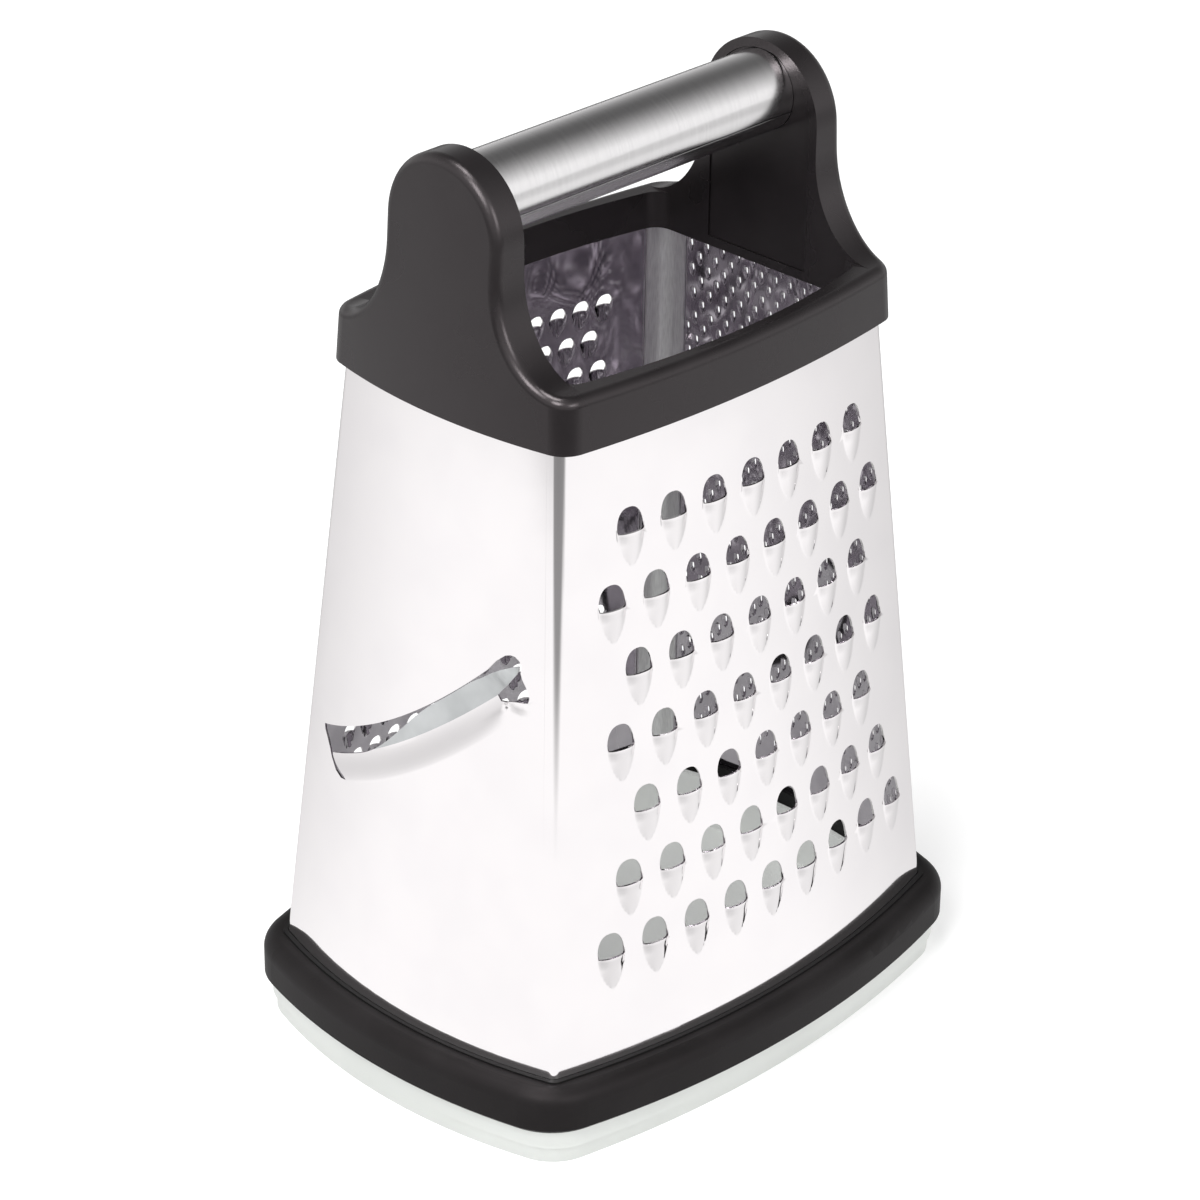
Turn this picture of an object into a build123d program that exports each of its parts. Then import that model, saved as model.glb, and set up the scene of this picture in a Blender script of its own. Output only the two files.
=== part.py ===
from build123d import *
import os
from math import asin, atan, degrees, sin, cos

os.makedirs("parts", exist_ok=True)

# A four-sided box grater, standing on its catch tray. Millimetres, +Z up, the origin
# on the table under the centre of the tray. The coarse side faces -Y, the slicing
# side -X, the medium side +Y and the fine side +X. Every wall bows outwards and leans
# in towards the handle.

# Heights of the levels, stacked up from the table
tray_height = 9.5
tray_seat_gap = 0.3
ring_height = 12.2
steel_show = 161.0
band_height = 13.8
tube_rise = 36.3

ring_foot_z = tray_height + tray_seat_gap
ring_top_z = ring_foot_z + ring_height
band_foot_z = ring_top_z + steel_show
band_top_z = band_foot_z + band_height
tube_axis_z = band_top_z + tube_rise

# Steel body: corner to corner half sizes and bows, at the base ring and at the top frame
foot_half_length = 68.4
foot_half_width = 48.2
foot_bow_wide = 9.8
foot_bow_narrow = 8.1
head_half_length = 55.9
head_half_width = 36.1
head_bow_wide = 5.7
head_bow_narrow = 4.6
sheet = 0.5
corner_bend = 2.6
steel_sink = 8.0
steel_tuck = 9.0
seam_reach = 3.4
seam_gap = 0.12
fit_gap = 0.1
steel_foot_z = ring_top_z - steel_sink
steel_head_z = band_foot_z + steel_tuck

# Folded joint strips, spot welded inside the four corners
strip_bend = 5.2
strip_reach = 6.4
strip_gap = 0.03
strip_end_gap = 0.4

# Cutting teeth: width and height of the opening, length and rise of the hood below it
coarse_width, coarse_open, coarse_hood, coarse_rise = 7.5, 6.9, 10.8, 2.2
coarse_shoulder = 4.4
coarse_pitch, coarse_row_pitch, coarse_first_row, coarse_margin = 13.2, 18.0, 26.6, 13.5
coarse_rows = 7
medium_width, medium_open, medium_hood, medium_rise = 4.6, 4.2, 4.6, 1.3
medium_pitch, medium_row_pitch, medium_first_row, medium_margin = 7.6, 9.6, 28.6, 17.5
medium_rows = 13
fine_width, fine_height = 1.7, 3.2
fine_pitch, fine_row_pitch, fine_first_row, fine_margin = 8.2, 10.2, 14.0, 7.0
fine_rows = 15
hood_side = 0.4
hood_crown_share = 0.6
opening_crown_share = 0.8
edge_bite = 0.06
overrun = 3.0
small_share = 0.001

# Slicing blade: a tongue lanced out of the wall along a rising, sagging arc
slot_left_along, slot_left_rise = -35.4, 64.8
slot_right_along, slot_right_rise = 29.0, 108.0
slot_sag = 3.2
slot_gap = 5.4
blade_length = 9.4
blade_rise = 2.6
blade_edge = 0.16
blade_leg_gap = 1.1
blade_stations = 9
blade_end_rise_share = 0.45
blade_knee_share = 0.5
blade_swell_share = 0.72

# Top frame: band round the steel with a post at each end for the handle
band_half_length = 57.4
band_half_width = 39.5
band_bow_wide = 4.9
band_bow_narrow = 5.1
band_corner = 7.0
band_lean = 0.06
mouth_half_length = 50.0
mouth_half_width = 33.2
mouth_bow = 5.8
mouth_corner = 5.0
skirt_lift = 4.0
band_outer_round = 2.6
groove_top_gap = 0.4

# Handle posts
post_half = 18.6
post_rise = 49.2
post_flare = 18.4
post_flare_rise = 24.0
cavity_depth = 3.0

# Cover plate on the inner face of each post
cover_thick = 2.4
cover_recess = 0.4
cover_margin = 2.4
cover_foot_rise = -7.4
cover_gap = 0.12
ledge = 1.4
cavity_foot_rise = -2.6
socket_depth = 1.0

# Handle tube, its end plugs and their screws
tube_radius = 10.4
tube_wall = 0.8
tube_end_gap = 0.1
plug_length = 14.0
plug_gap = 0.06
plug_core = 5.2
plug_web = 3.0
plug_rim = 1.6
screw_radius = 1.7
screw_gap = 0.1
screw_length = 13.0
screw_head_radius = 3.3
screw_head_height = 2.3

# Base: a hard carrier that holds the steel, inside a soft convex ring
lip = 1.0
inner_wall = 1.4
inner_bend = 0.4
groove_foot_gap = 0.1
carrier_step = 0.9
mould_gap = 0.03
ring_half_length = 74.5
ring_half_width = 54.0
ring_bow_wide = 11.2
ring_bow_narrow = 9.3
ring_corner = 17.5
ring_lip_drop = 0.4
ring_shoulder = 4.0
ring_foot_bevel = 1.2

# Catch tray: a tub that reaches up inside the carrier, with a foot skirt outside
skirt_half_length = 72.3
skirt_half_width = 52.9
skirt_bow_wide = 9.0
skirt_bow_narrow = 9.4
skirt_corner = 14.0
skirt_step = 0.8
skirt_step_rise = 4.6
tray_wall = 1.5
tray_gap = 0.4
tub_reach = 7.4
tub_floor = 1.6
tub_lift = 0.8
tub_corner = 4.0


def outline(height, half_length, half_width, bow_wide, bow_narrow, corner):
    """A level face with four bowed sides and rounded corners."""
    with BuildSketch(Plane.XY.offset(height)) as face:
        with BuildLine():
            ThreePointArc(
                (-half_length, -half_width),
                (0, -half_width - bow_wide),
                (half_length, -half_width),
            )
            ThreePointArc(
                (half_length, -half_width),
                (half_length + bow_narrow, 0),
                (half_length, half_width),
            )
            ThreePointArc(
                (half_length, half_width),
                (0, half_width + bow_wide),
                (-half_length, half_width),
            )
            ThreePointArc(
                (-half_length, half_width),
                (-half_length - bow_narrow, 0),
                (-half_length, -half_width),
            )
        make_face()
        fillet(face.vertices(), radius=corner)
    return face.sketch


def between(low, high, height):
    """A steel size at a height, from its values at the base ring and the top frame."""
    return low + (high - low) * (height - ring_top_z) / steel_show


def steel_half_length(height):
    return between(foot_half_length, head_half_length, height)


def steel_half_width(height):
    return between(foot_half_width, head_half_width, height)


def steel_bow_wide(height):
    return between(foot_bow_wide, head_bow_wide, height)


def steel_bow_narrow(height):
    return between(foot_bow_narrow, head_bow_narrow, height)


def steel_outline(height, grow, corner):
    """The outside of the steel at a height, moved outwards by grow."""
    return outline(
        height,
        steel_half_length(height) + grow,
        steel_half_width(height) + grow,
        steel_bow_wide(height),
        steel_bow_narrow(height),
        corner,
    )


def steel_block(low, high, grow, corner):
    """A solid that follows the steel from one height to another."""
    with BuildPart() as block:
        loft(
            sections=[steel_outline(low, grow, corner), steel_outline(high, grow, corner)],
            ruled=True,
        )
    return block.part


def plain_block(low, high, half_length, half_width, bow_wide, bow_narrow, corner):
    """An upright solid with one bowed outline."""
    with BuildPart() as block:
        add(outline(low, half_length, half_width, bow_wide, bow_narrow, corner))
        extrude(amount=high - low)
    return block.part


def seam_plane(side, cut_back):
    """The leaning plane just round a corner where one side's sheet ends.

    It runs along a side at seam_reach from the corner, less cut_back, and faces outwards.
    """
    if side in ("coarse", "medium"):
        out = Vector(0, -1 if side == "coarse" else 1, 0)
        near, far = steel_half_width(steel_foot_z), steel_half_width(steel_head_z)
        level = Vector(1, 0, 0)
    else:
        out = Vector(-1 if side == "slicing" else 1, 0, 0)
        near, far = steel_half_length(steel_foot_z), steel_half_length(steel_head_z)
        level = Vector(0, 1, 0)
    start = out * (near - seam_reach + cut_back) + Vector(0, 0, steel_foot_z)
    end = out * (far - seam_reach + cut_back) + Vector(0, 0, steel_head_z)
    facing = (end - start).cross(level).normalized()
    if facing.dot(out) < 0:
        facing = facing * -1
    return Plane(origin=start, x_dir=level, z_dir=facing)


wall_turns = {"coarse": 0, "fine": 90, "medium": 180, "slicing": 270}


def wall_sizes(side, height):
    """Half the chord, the chord's distance from the centre and the bow of one wall."""
    if side in ("coarse", "medium"):
        return steel_half_length(height), steel_half_width(height), steel_bow_wide(height)
    return steel_half_width(height), steel_half_length(height), steel_bow_narrow(height)


def arc_point(share, height, side):
    """A point on a wall's level arc, where share runs from -1 to 1 along it."""
    half, reach, bow = wall_sizes(side, height)
    radius = (half * half + bow * bow) / (2 * bow)
    angle = asin(half / radius) * share
    return Vector(radius * sin(angle), radius - bow - reach - radius * cos(angle), height)


def half_arc(side, height):
    """Half the length of a wall's level arc."""
    half, reach, bow = wall_sizes(side, height)
    radius = (half * half + bow * bow) / (2 * bow)
    return radius * asin(half / radius)


def wall_plane(side, along, height):
    """The plane that touches a wall from outside: x along it, y up it, z outwards."""
    share = along / half_arc(side, height)
    low = arc_point(share, steel_foot_z, side)
    high = arc_point(share, steel_head_z, side)
    rise_share = (height - steel_foot_z) / (steel_head_z - steel_foot_z)
    up = (high - low).normalized()
    nearby = share + small_share
    aside = arc_point(nearby, steel_foot_z, side) - low
    other = arc_point(nearby, steel_head_z, side) - high
    level = aside + (other - aside) * rise_share
    facing = level.cross(up).normalized()
    origin = low + (high - low) * rise_share
    turn = wall_turns[side]
    return Plane(
        origin=origin.rotate(Axis.Z, turn),
        x_dir=level.normalized().rotate(Axis.Z, turn),
        z_dir=facing.rotate(Axis.Z, turn),
    )


# Sheet panels: each is one wall with the bend at its far corner
steel_shell = steel_block(steel_foot_z, steel_head_z, 0, corner_bend) - steel_block(
    steel_foot_z - overrun, steel_head_z + overrun, -sheet, corner_bend - sheet
)

with BuildPart() as coarse_blank:
    add(steel_shell)
    split(bisect_by=seam_plane("coarse", 0), keep=Keep.TOP)
    split(bisect_by=seam_plane("fine", -seam_gap), keep=Keep.BOTTOM)

with BuildPart() as slicing_blank:
    add(steel_shell)
    split(bisect_by=seam_plane("slicing", 0), keep=Keep.TOP)
    split(bisect_by=seam_plane("coarse", -seam_gap), keep=Keep.BOTTOM)

with BuildPart() as medium_blank:
    add(steel_shell)
    split(bisect_by=seam_plane("medium", 0), keep=Keep.TOP)
    split(bisect_by=seam_plane("slicing", -seam_gap), keep=Keep.BOTTOM)

with BuildPart() as fine_blank:
    add(steel_shell)
    split(bisect_by=seam_plane("fine", 0), keep=Keep.TOP)
    split(bisect_by=seam_plane("medium", -seam_gap), keep=Keep.BOTTOM)



def tooth_places(side, pitch, row_pitch, first_row, rows, margin):
    """Planes on one wall for staggered rows of teeth, as many in a row as fit."""
    places = []
    for row in range(rows):
        height = ring_top_z + first_row + row * row_pitch
        room = half_arc(side, height) - margin
        odd = (rows - 1 - row) % 2 == 0
        pairs = int(room / pitch) if odd else int(room / pitch + 0.5)
        count = 2 * pairs + 1 if odd else 2 * pairs
        for place in range(count):
            places.append(wall_plane(side, (place - (count - 1) / 2) * pitch, height))
    return places


def hood_solid(width, length, rise, under):
    """A hump with flat sides, from the cutting edge at y = 0 down to a sunk point."""
    with BuildPart() as hood:
        with BuildSketch(Plane.XZ):
            with BuildLine():
                Polyline(
                    (-width / 2, -under),
                    (width / 2, -under),
                    (width / 2 * hood_crown_share, rise),
                    (-width / 2 * hood_crown_share, rise),
                    close=True,
                )
            make_face()
        loft(sections=[hood.pending_faces[0], Vertex(0, -length, -under)], ruled=True)
    return hood.part


def spike_solid(width, length, rise, under):
    """A small three-sided hump from the cutting edge at y = 0 down to a point."""
    with BuildPart() as spike:
        with BuildSketch(Plane.XZ):
            with BuildLine():
                Polyline((-width / 2, -under), (width / 2, -under), (0, rise), close=True)
            make_face()
        loft(sections=[spike.pending_faces[0], Vertex(0, -length, -under)], ruled=True)
    return spike.part


def punch_solid(points):
    """The cutter for a hole with the given outline, right through the sheet."""
    with BuildPart() as punch:
        with BuildSketch():
            with BuildLine():
                Polyline(*points, close=True)
            make_face()
        extrude(amount=overrun, both=True)
    return punch.part


def placed(solid, places):
    """Copies of a solid on a list of planes."""
    return [solid.moved(place.location) for place in places]


def save(piece, name):
    """Label a piece and write its STEP file."""
    piece.part.label = name
    export_step(piece.part, f"parts/{name}.step")


# Coarse side: hollow hoods pushed outwards, each with a cutting edge under its opening
coarse_places = tooth_places(
    "coarse", coarse_pitch, coarse_row_pitch, coarse_first_row, coarse_rows, coarse_margin
)
coarse_hump = hood_solid(coarse_width + 2 * hood_side, coarse_hood, coarse_rise, sheet)
coarse_hollow = hood_solid(coarse_width, coarse_hood - sheet, coarse_rise - sheet, 2 * sheet)
coarse_punch = punch_solid(
    [
        (-coarse_width / 2, -edge_bite),
        (coarse_width / 2, -edge_bite),
        (coarse_width / 2 * opening_crown_share, coarse_shoulder),
        (0, coarse_open),
        (-coarse_width / 2 * opening_crown_share, coarse_shoulder),
    ]
)

with BuildPart() as coarse_panel:
    add(coarse_blank)
    add(placed(coarse_hump, coarse_places), clean=False)
    add(
        placed(coarse_hollow, coarse_places) + placed(coarse_punch, coarse_places),
        mode=Mode.SUBTRACT,
        clean=False,
    )
save(coarse_panel, "coarse_panel")

# Medium side: small spiked teeth, with humps low enough to stay filled
medium_places = tooth_places(
    "medium", medium_pitch, medium_row_pitch, medium_first_row, medium_rows, medium_margin
)
medium_hump = spike_solid(medium_width, medium_hood, medium_rise, sheet / 2)
medium_punch = punch_solid(
    [(-medium_width / 2, -edge_bite), (medium_width / 2, -edge_bite), (0, medium_open)]
)

with BuildPart() as medium_panel:
    add(medium_blank)
    add(placed(medium_hump, medium_places), clean=False)
    add(placed(medium_punch, medium_places), mode=Mode.SUBTRACT, clean=False)
save(medium_panel, "medium_panel")

# Fine side: narrow pointed punches
fine_places = tooth_places("fine", fine_pitch, fine_row_pitch, fine_first_row, fine_rows, fine_margin)
fine_punch = punch_solid(
    [(-fine_width / 2, fine_height / 2), (0, -fine_height / 2), (fine_width / 2, fine_height / 2)]
)

with BuildPart() as fine_panel:
    add(fine_blank)
    add(placed(fine_punch, fine_places), mode=Mode.SUBTRACT, clean=False)
save(fine_panel, "fine_panel")


# Slicing side: a long blade lanced outwards below a sagging, rising slot
def slot_plane(share):
    """The plane square to the slot at a share from -1 to 1: x up the wall, y outwards."""
    middle = (1 - share) / 2
    along = slot_left_along * middle + slot_right_along * (1 - middle)
    rise = slot_left_rise * middle + slot_right_rise * (1 - middle)
    rise -= slot_sag * (1 - share * share)
    run = slot_right_along - slot_left_along
    climb = slot_right_rise - slot_left_rise
    slope = degrees(atan((climb + 4 * slot_sag * share) / run))
    wall = wall_plane("slicing", along, ring_top_z + rise)
    ahead = wall.x_dir.rotate(Axis((0, 0, 0), wall.z_dir), slope)
    return Plane(origin=wall.origin, x_dir=wall.z_dir.cross(ahead), z_dir=ahead)


def slot_shares(reach):
    """Evenly spaced shares along the slot, out to a reach each way."""
    return [
        reach * (2 * station / (blade_stations - 1) - 1) for station in range(blade_stations)
    ]


slot_length = slot_right_along - slot_left_along
blade_share = 1 - 2 * blade_leg_gap / slot_length
blade_root = slot_gap + blade_length

with BuildPart() as blade_window:
    for share in slot_shares(1):
        with BuildSketch(slot_plane(share)):
            with BuildLine():
                Polyline(
                    (0, overrun),
                    (-blade_root, overrun),
                    (-blade_root, -overrun),
                    (0, -overrun),
                    close=True,
                )
            make_face()
    loft()

with BuildPart() as blade:
    for share in slot_shares(blade_share):
        rise = blade_rise * (1 - (1 - blade_end_rise_share) * share * share)
        with BuildSketch(slot_plane(share)):
            with BuildLine():
                Polyline(
                    (-blade_root - sheet, -sheet / 4),
                    (-blade_root + blade_length * blade_knee_share, rise * blade_swell_share),
                    (-slot_gap, rise),
                    (-slot_gap, rise - blade_edge),
                    (-blade_root + blade_length * blade_knee_share, rise * blade_swell_share - sheet),
                    (-blade_root - sheet, -sheet * 3 / 4),
                    close=True,
                )
            make_face()
    loft()

with BuildPart() as slicing_panel:
    add(slicing_blank)
    add(blade_window.part, mode=Mode.SUBTRACT)
    add(blade.part)
save(slicing_panel, "slicing_panel")


# Joint strips: folded along each corner from the carrier up to the frame's skirt
strip_foot_z = ring_top_z + strip_end_gap
strip_head_z = band_foot_z + skirt_lift - strip_end_gap
strip_inset = sheet + strip_gap
strip_loop = steel_block(strip_foot_z, strip_head_z, -strip_inset, strip_bend) - steel_block(
    strip_foot_z - overrun, strip_head_z + overrun, -strip_inset - sheet, strip_bend - sheet
)
strip_back = seam_reach - strip_reach
for name, along_side, across_side in (
    ("front_seam_strip", "coarse", "slicing"),
    ("left_seam_strip", "slicing", "medium"),
    ("back_seam_strip", "medium", "fine"),
    ("right_seam_strip", "fine", "coarse"),
):
    with BuildPart() as strip:
        add(strip_loop)
        split(bisect_by=seam_plane(along_side, strip_back), keep=Keep.TOP)
        split(bisect_by=seam_plane(across_side, strip_back), keep=Keep.TOP)
    save(strip, name)


# Top frame: one moulding, the band and both posts
def band_block(low, high):
    """A solid that follows the frame's outside from one height to another.

    Each of its four walls is part of an upright cone.
    """
    wide = (band_half_length, band_half_width, band_bow_wide)
    narrow = (band_half_width, band_half_length, band_bow_narrow)
    with BuildPart() as block:
        for (half, reach, bow), turn in ((wide, 90), (wide, 270), (narrow, 0), (narrow, 180)):
            radius = (half * half + bow * bow) / (2 * bow)
            centre = Location((bow + reach - radius, 0, 0))
            with Locations(Location((0, 0, low), (0, 0, turn)) * centre):
                Cone(
                    radius - band_lean * (low - band_foot_z),
                    radius - band_lean * (high - band_foot_z),
                    high - low,
                    align=(Align.CENTER, Align.CENTER, Align.MIN),
                    mode=Mode.INTERSECT if block.part else Mode.ADD,
                )
        ends = block.faces().filter_by(Axis.Z).edges()
        fillet(block.edges().filter_by(lambda edge: edge not in ends), radius=band_corner)
    return block.part


def post_shape(inset, foot_z, start, depth):
    """A post's side view, moved inwards by inset, as a solid that starts at X = start."""
    half = post_half - inset
    with BuildPart() as shape:
        with BuildSketch(Plane.YZ.offset(start)):
            with BuildLine():
                Polyline((half, neck_z), (half, foot_z), (-half, foot_z), (-half, neck_z))
                ThreePointArc((-half, neck_z), (0, neck_z + half), (half, neck_z))
            make_face()
        extrude(amount=depth)
    return shape.part


def both_ends(solid):
    """The solid at the +X end and its mirror image at the -X end."""
    return [solid, solid.mirror(Plane.YZ)]


def rod(radius, start, end):
    """A round bar on the handle's axis from one X to another."""
    with BuildPart() as bar:
        with BuildSketch(Plane.YZ.offset(start)):
            with Locations((0, tube_axis_z)):
                Circle(radius)
        extrude(amount=end - start)
    return bar.part


skirt_foot_z = band_foot_z + skirt_lift
waist_z = band_top_z + post_flare_rise
neck_z = band_top_z + post_rise - post_half
frame_top_z = band_top_z + post_rise + overrun
frame_reach = band_half_length + band_bow_narrow + overrun
cover_front = mouth_half_length + cover_recess
cover_back = cover_front + cover_thick

with BuildPart() as post_waste:
    with BuildSketch(Plane.YZ):
        with Locations((0, (band_top_z + frame_top_z) / 2)):
            Rectangle(2 * frame_reach, frame_top_z - band_top_z)
        with BuildLine():
            EllipticalCenterArc(
                (post_half + post_flare, waist_z),
                post_flare,
                post_flare_rise,
                start_angle=180,
                arc_size=90,
            )
            Line((post_half + post_flare, band_top_z), (-post_half - post_flare, band_top_z))
            EllipticalCenterArc(
                (-post_half - post_flare, waist_z),
                post_flare,
                post_flare_rise,
                start_angle=270,
                arc_size=90,
            )
            Line((-post_half, waist_z), (-post_half, neck_z))
            ThreePointArc((-post_half, neck_z), (0, neck_z + post_half), (post_half, neck_z))
            Line((post_half, neck_z), (post_half, waist_z))
        make_face(mode=Mode.SUBTRACT)
    extrude(amount=frame_reach, both=True)

with BuildPart() as top_frame:
    add(band_block(band_foot_z, frame_top_z))
    add(post_waste, mode=Mode.SUBTRACT)
    with Locations((0, 0, (band_top_z + frame_top_z) / 2)):
        Box(2 * mouth_half_length, 2 * frame_reach, frame_top_z - band_top_z, mode=Mode.SUBTRACT)
    with BuildSketch(Plane.XY.offset(skirt_foot_z)):
        with BuildLine():
            ThreePointArc(
                (-mouth_half_length, -mouth_half_width),
                (0, -mouth_half_width - mouth_bow),
                (mouth_half_length, -mouth_half_width),
            )
            Line((mouth_half_length, -mouth_half_width), (mouth_half_length, mouth_half_width))
            ThreePointArc(
                (mouth_half_length, mouth_half_width),
                (0, mouth_half_width + mouth_bow),
                (-mouth_half_length, mouth_half_width),
            )
            Line((-mouth_half_length, mouth_half_width), (-mouth_half_length, -mouth_half_width))
        mouth = make_face()
        fillet(mouth.vertices(), radius=mouth_corner)
    extrude(amount=frame_top_z - skirt_foot_z, mode=Mode.SUBTRACT)

    # The outer edge is rounded all the way round, over both posts
    above_band = top_frame.edges().filter_by(
        lambda edge: edge.bounding_box().min.Z > band_top_z - fit_gap
    )
    outer_edges = above_band.filter_by(
        lambda edge: min(abs((edge @ 0).X), abs((edge @ 1).X)) > mouth_half_length + fit_gap
    )
    fillet(outer_edges, radius=band_outer_round)

    # Seat for the steel: open below the skirt, a groove above it
    add(
        steel_block(steel_foot_z, steel_head_z + groove_top_gap, fit_gap, corner_bend + fit_gap)
        - steel_block(
            skirt_foot_z,
            steel_head_z + groove_top_gap + overrun,
            -sheet - fit_gap,
            corner_bend - sheet - fit_gap,
        ),
        mode=Mode.SUBTRACT,
    )

    # Each post is hollow behind its cover plate
    add(
        both_ends(
            post_shape(
                cover_margin, band_top_z + cover_foot_rise, mouth_half_length, cover_recess + cover_thick
            )
        ),
        mode=Mode.SUBTRACT,
    )
    add(
        both_ends(
            post_shape(
                cover_margin + ledge, band_top_z + cavity_foot_rise, cover_back, cavity_depth
            )
        ),
        mode=Mode.SUBTRACT,
    )
save(top_frame, "top_frame")

# Cover plates, with a socket for the tube and a hole for its screw
cover_shape = (
    post_shape(
        cover_margin + cover_gap, band_top_z + cover_foot_rise + cover_gap, cover_front, cover_thick
    )
    - rod(tube_radius + fit_gap, cover_front - overrun, cover_front + socket_depth)
    - rod(screw_radius + screw_gap, cover_front, cover_back + overrun)
)
with BuildPart() as right_handle_cover:
    add(cover_shape)
save(right_handle_cover, "right_handle_cover")

with BuildPart() as left_handle_cover:
    add(cover_shape)
    mirror(about=Plane.YZ, mode=Mode.REPLACE)
save(left_handle_cover, "left_handle_cover")

# Handle tube
tube_half_length = cover_front + socket_depth - tube_end_gap
with BuildPart() as handle_tube:
    add(rod(tube_radius, -tube_half_length, tube_half_length))
    add(
        rod(tube_radius - tube_wall, -tube_half_length - overrun, tube_half_length + overrun),
        mode=Mode.SUBTRACT,
    )
save(handle_tube, "handle_tube")

# Tube plugs: an end disc, a core for the screw and four webs
plug_radius = tube_radius - tube_wall - plug_gap
plug_front = cover_front + socket_depth
with BuildPart() as right_tube_plug:
    add(rod(plug_radius, plug_front - plug_rim, plug_front))
    add(rod(plug_core, plug_front - plug_length, plug_front))
    with BuildPart(mode=Mode.PRIVATE) as webs:
        with Locations((plug_front - plug_length / 2, 0, tube_axis_z)):
            Box(plug_length, 2 * plug_radius, plug_web)
            Box(plug_length, plug_web, 2 * plug_radius)
    add(webs.part & rod(plug_radius, plug_front - plug_length, plug_front))
    add(
        rod(screw_radius + screw_gap, plug_front - plug_length - overrun, plug_front + overrun),
        mode=Mode.SUBTRACT,
    )
save(right_tube_plug, "right_tube_plug")

with BuildPart() as left_tube_plug:
    add(right_tube_plug)
    mirror(about=Plane.YZ, mode=Mode.REPLACE)
save(left_tube_plug, "left_tube_plug")

# Handle screws, from each post's hollow through the cover into the plug
screw = rod(screw_radius, cover_back - screw_length, cover_back + screw_head_height / 2) + rod(
    screw_head_radius, cover_back, cover_back + screw_head_height
)
with BuildPart() as handle_screws:
    add(both_ends(screw))
save(handle_screws, "handle_screws")

# Base carrier: two walls and a floor round the foot of the steel
carrier_grow = fit_gap + lip
carrier_inner = -sheet - fit_gap - inner_wall
with BuildPart() as base_carrier:
    add(steel_block(ring_foot_z, ring_top_z, carrier_grow, corner_bend + carrier_grow))
    add(
        steel_block(
            ring_foot_z - overrun, ring_top_z + overrun, carrier_inner, corner_bend + inner_bend
        ),
        mode=Mode.SUBTRACT,
    )
    add(
        steel_block(
            steel_foot_z - groove_foot_gap, ring_top_z + overrun, fit_gap, corner_bend + fit_gap
        )
        - steel_block(
            steel_foot_z - overrun,
            ring_top_z - carrier_step,
            -sheet - fit_gap,
            corner_bend - sheet - fit_gap,
        ),
        mode=Mode.SUBTRACT,
    )
save(base_carrier, "base_carrier")


# Soft ring: upright, with a full shoulder below the carrier's lip
with BuildPart() as base_ring:
    add(
        plain_block(
            ring_foot_z,
            ring_top_z - ring_lip_drop,
            ring_half_length,
            ring_half_width,
            ring_bow_wide,
            ring_bow_narrow,
            ring_corner,
        )
    )
    fillet(base_ring.faces().sort_by(Axis.Z)[-1].edges(), radius=ring_shoulder)
    chamfer(base_ring.faces().sort_by(Axis.Z)[0].edges(), length=ring_foot_bevel)
    add(
        steel_block(
            ring_foot_z - overrun,
            ring_top_z + overrun,
            carrier_grow + mould_gap,
            corner_bend + carrier_grow + mould_gap,
        ),
        mode=Mode.SUBTRACT,
    )
save(base_ring, "base_ring")

# Catch tray: the tub, and the skirt that carries it under the ring
tub_top_z = tray_height + tray_seat_gap + tub_reach
tub_inset = carrier_inner - tray_gap


def tub_block(low, high, grow):
    """An upright block that follows the tub's outside, moved outwards by grow."""
    return plain_block(
        low,
        high,
        steel_half_length(tub_top_z) + tub_inset + grow,
        steel_half_width(tub_top_z) + tub_inset + grow,
        steel_bow_wide(tub_top_z),
        steel_bow_narrow(tub_top_z),
        tub_corner + grow,
    )


def skirt_block(low, high, grow):
    """An upright block that follows the skirt's outside, moved outwards by grow."""
    return plain_block(
        low,
        high,
        skirt_half_length + grow,
        skirt_half_width + grow,
        skirt_bow_wide,
        skirt_bow_narrow,
        skirt_corner + grow,
    )


with BuildPart() as catch_tray:
    add(skirt_block(skirt_step_rise, tray_height, 0))
    add(skirt_block(0, skirt_step_rise, -skirt_step))
    add(skirt_block(-overrun, tray_height - tray_wall, -skirt_step - tray_wall), mode=Mode.SUBTRACT)
    add(tub_block(tub_lift, tub_top_z, 0))
    add(tub_block(tub_lift + tub_floor, tub_top_z + overrun, -tray_wall), mode=Mode.SUBTRACT)
save(catch_tray, "catch_tray")
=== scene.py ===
"""Looks of a four-sided box grater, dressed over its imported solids.

Lengths of the grater are written in millimetres, as in its drawing, and become metres
where a mesh is made.
"""

import logging
from dataclasses import dataclass
from enum import Enum
from typing import Any, Callable

import bpy
import numpy as np
from mathutils import Matrix
from mathutils.geometry import delaunay_2d_cdt


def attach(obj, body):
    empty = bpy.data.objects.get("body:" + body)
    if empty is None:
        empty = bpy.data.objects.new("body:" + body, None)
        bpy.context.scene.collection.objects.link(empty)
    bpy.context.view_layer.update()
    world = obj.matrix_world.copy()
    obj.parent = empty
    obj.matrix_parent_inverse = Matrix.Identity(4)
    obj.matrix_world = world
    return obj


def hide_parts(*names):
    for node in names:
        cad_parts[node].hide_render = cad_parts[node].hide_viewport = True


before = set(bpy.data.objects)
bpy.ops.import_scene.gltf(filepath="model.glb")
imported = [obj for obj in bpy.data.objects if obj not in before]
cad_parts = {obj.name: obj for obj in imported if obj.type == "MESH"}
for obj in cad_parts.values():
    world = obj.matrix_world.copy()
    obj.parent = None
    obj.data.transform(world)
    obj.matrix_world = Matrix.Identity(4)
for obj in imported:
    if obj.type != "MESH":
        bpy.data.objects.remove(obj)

Array = np.ndarray
Triple = tuple[float, float, float]
Colour = Triple
Line = tuple[tuple[float, float], ...]
MM = 0.001
# A Mix node's colour inputs and output, whose names its other sockets share
MIX_LOW, MIX_HIGH, MIX_RESULT = 6, 7, 2
log = logging.getLogger("box_grater")


# Shader sockets and node trees


class Curve(Enum):
    """How a value goes from one end of a step to the other."""

    SMOOTH = "SMOOTHSTEP"
    STRAIGHT = "LINEAR"


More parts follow.
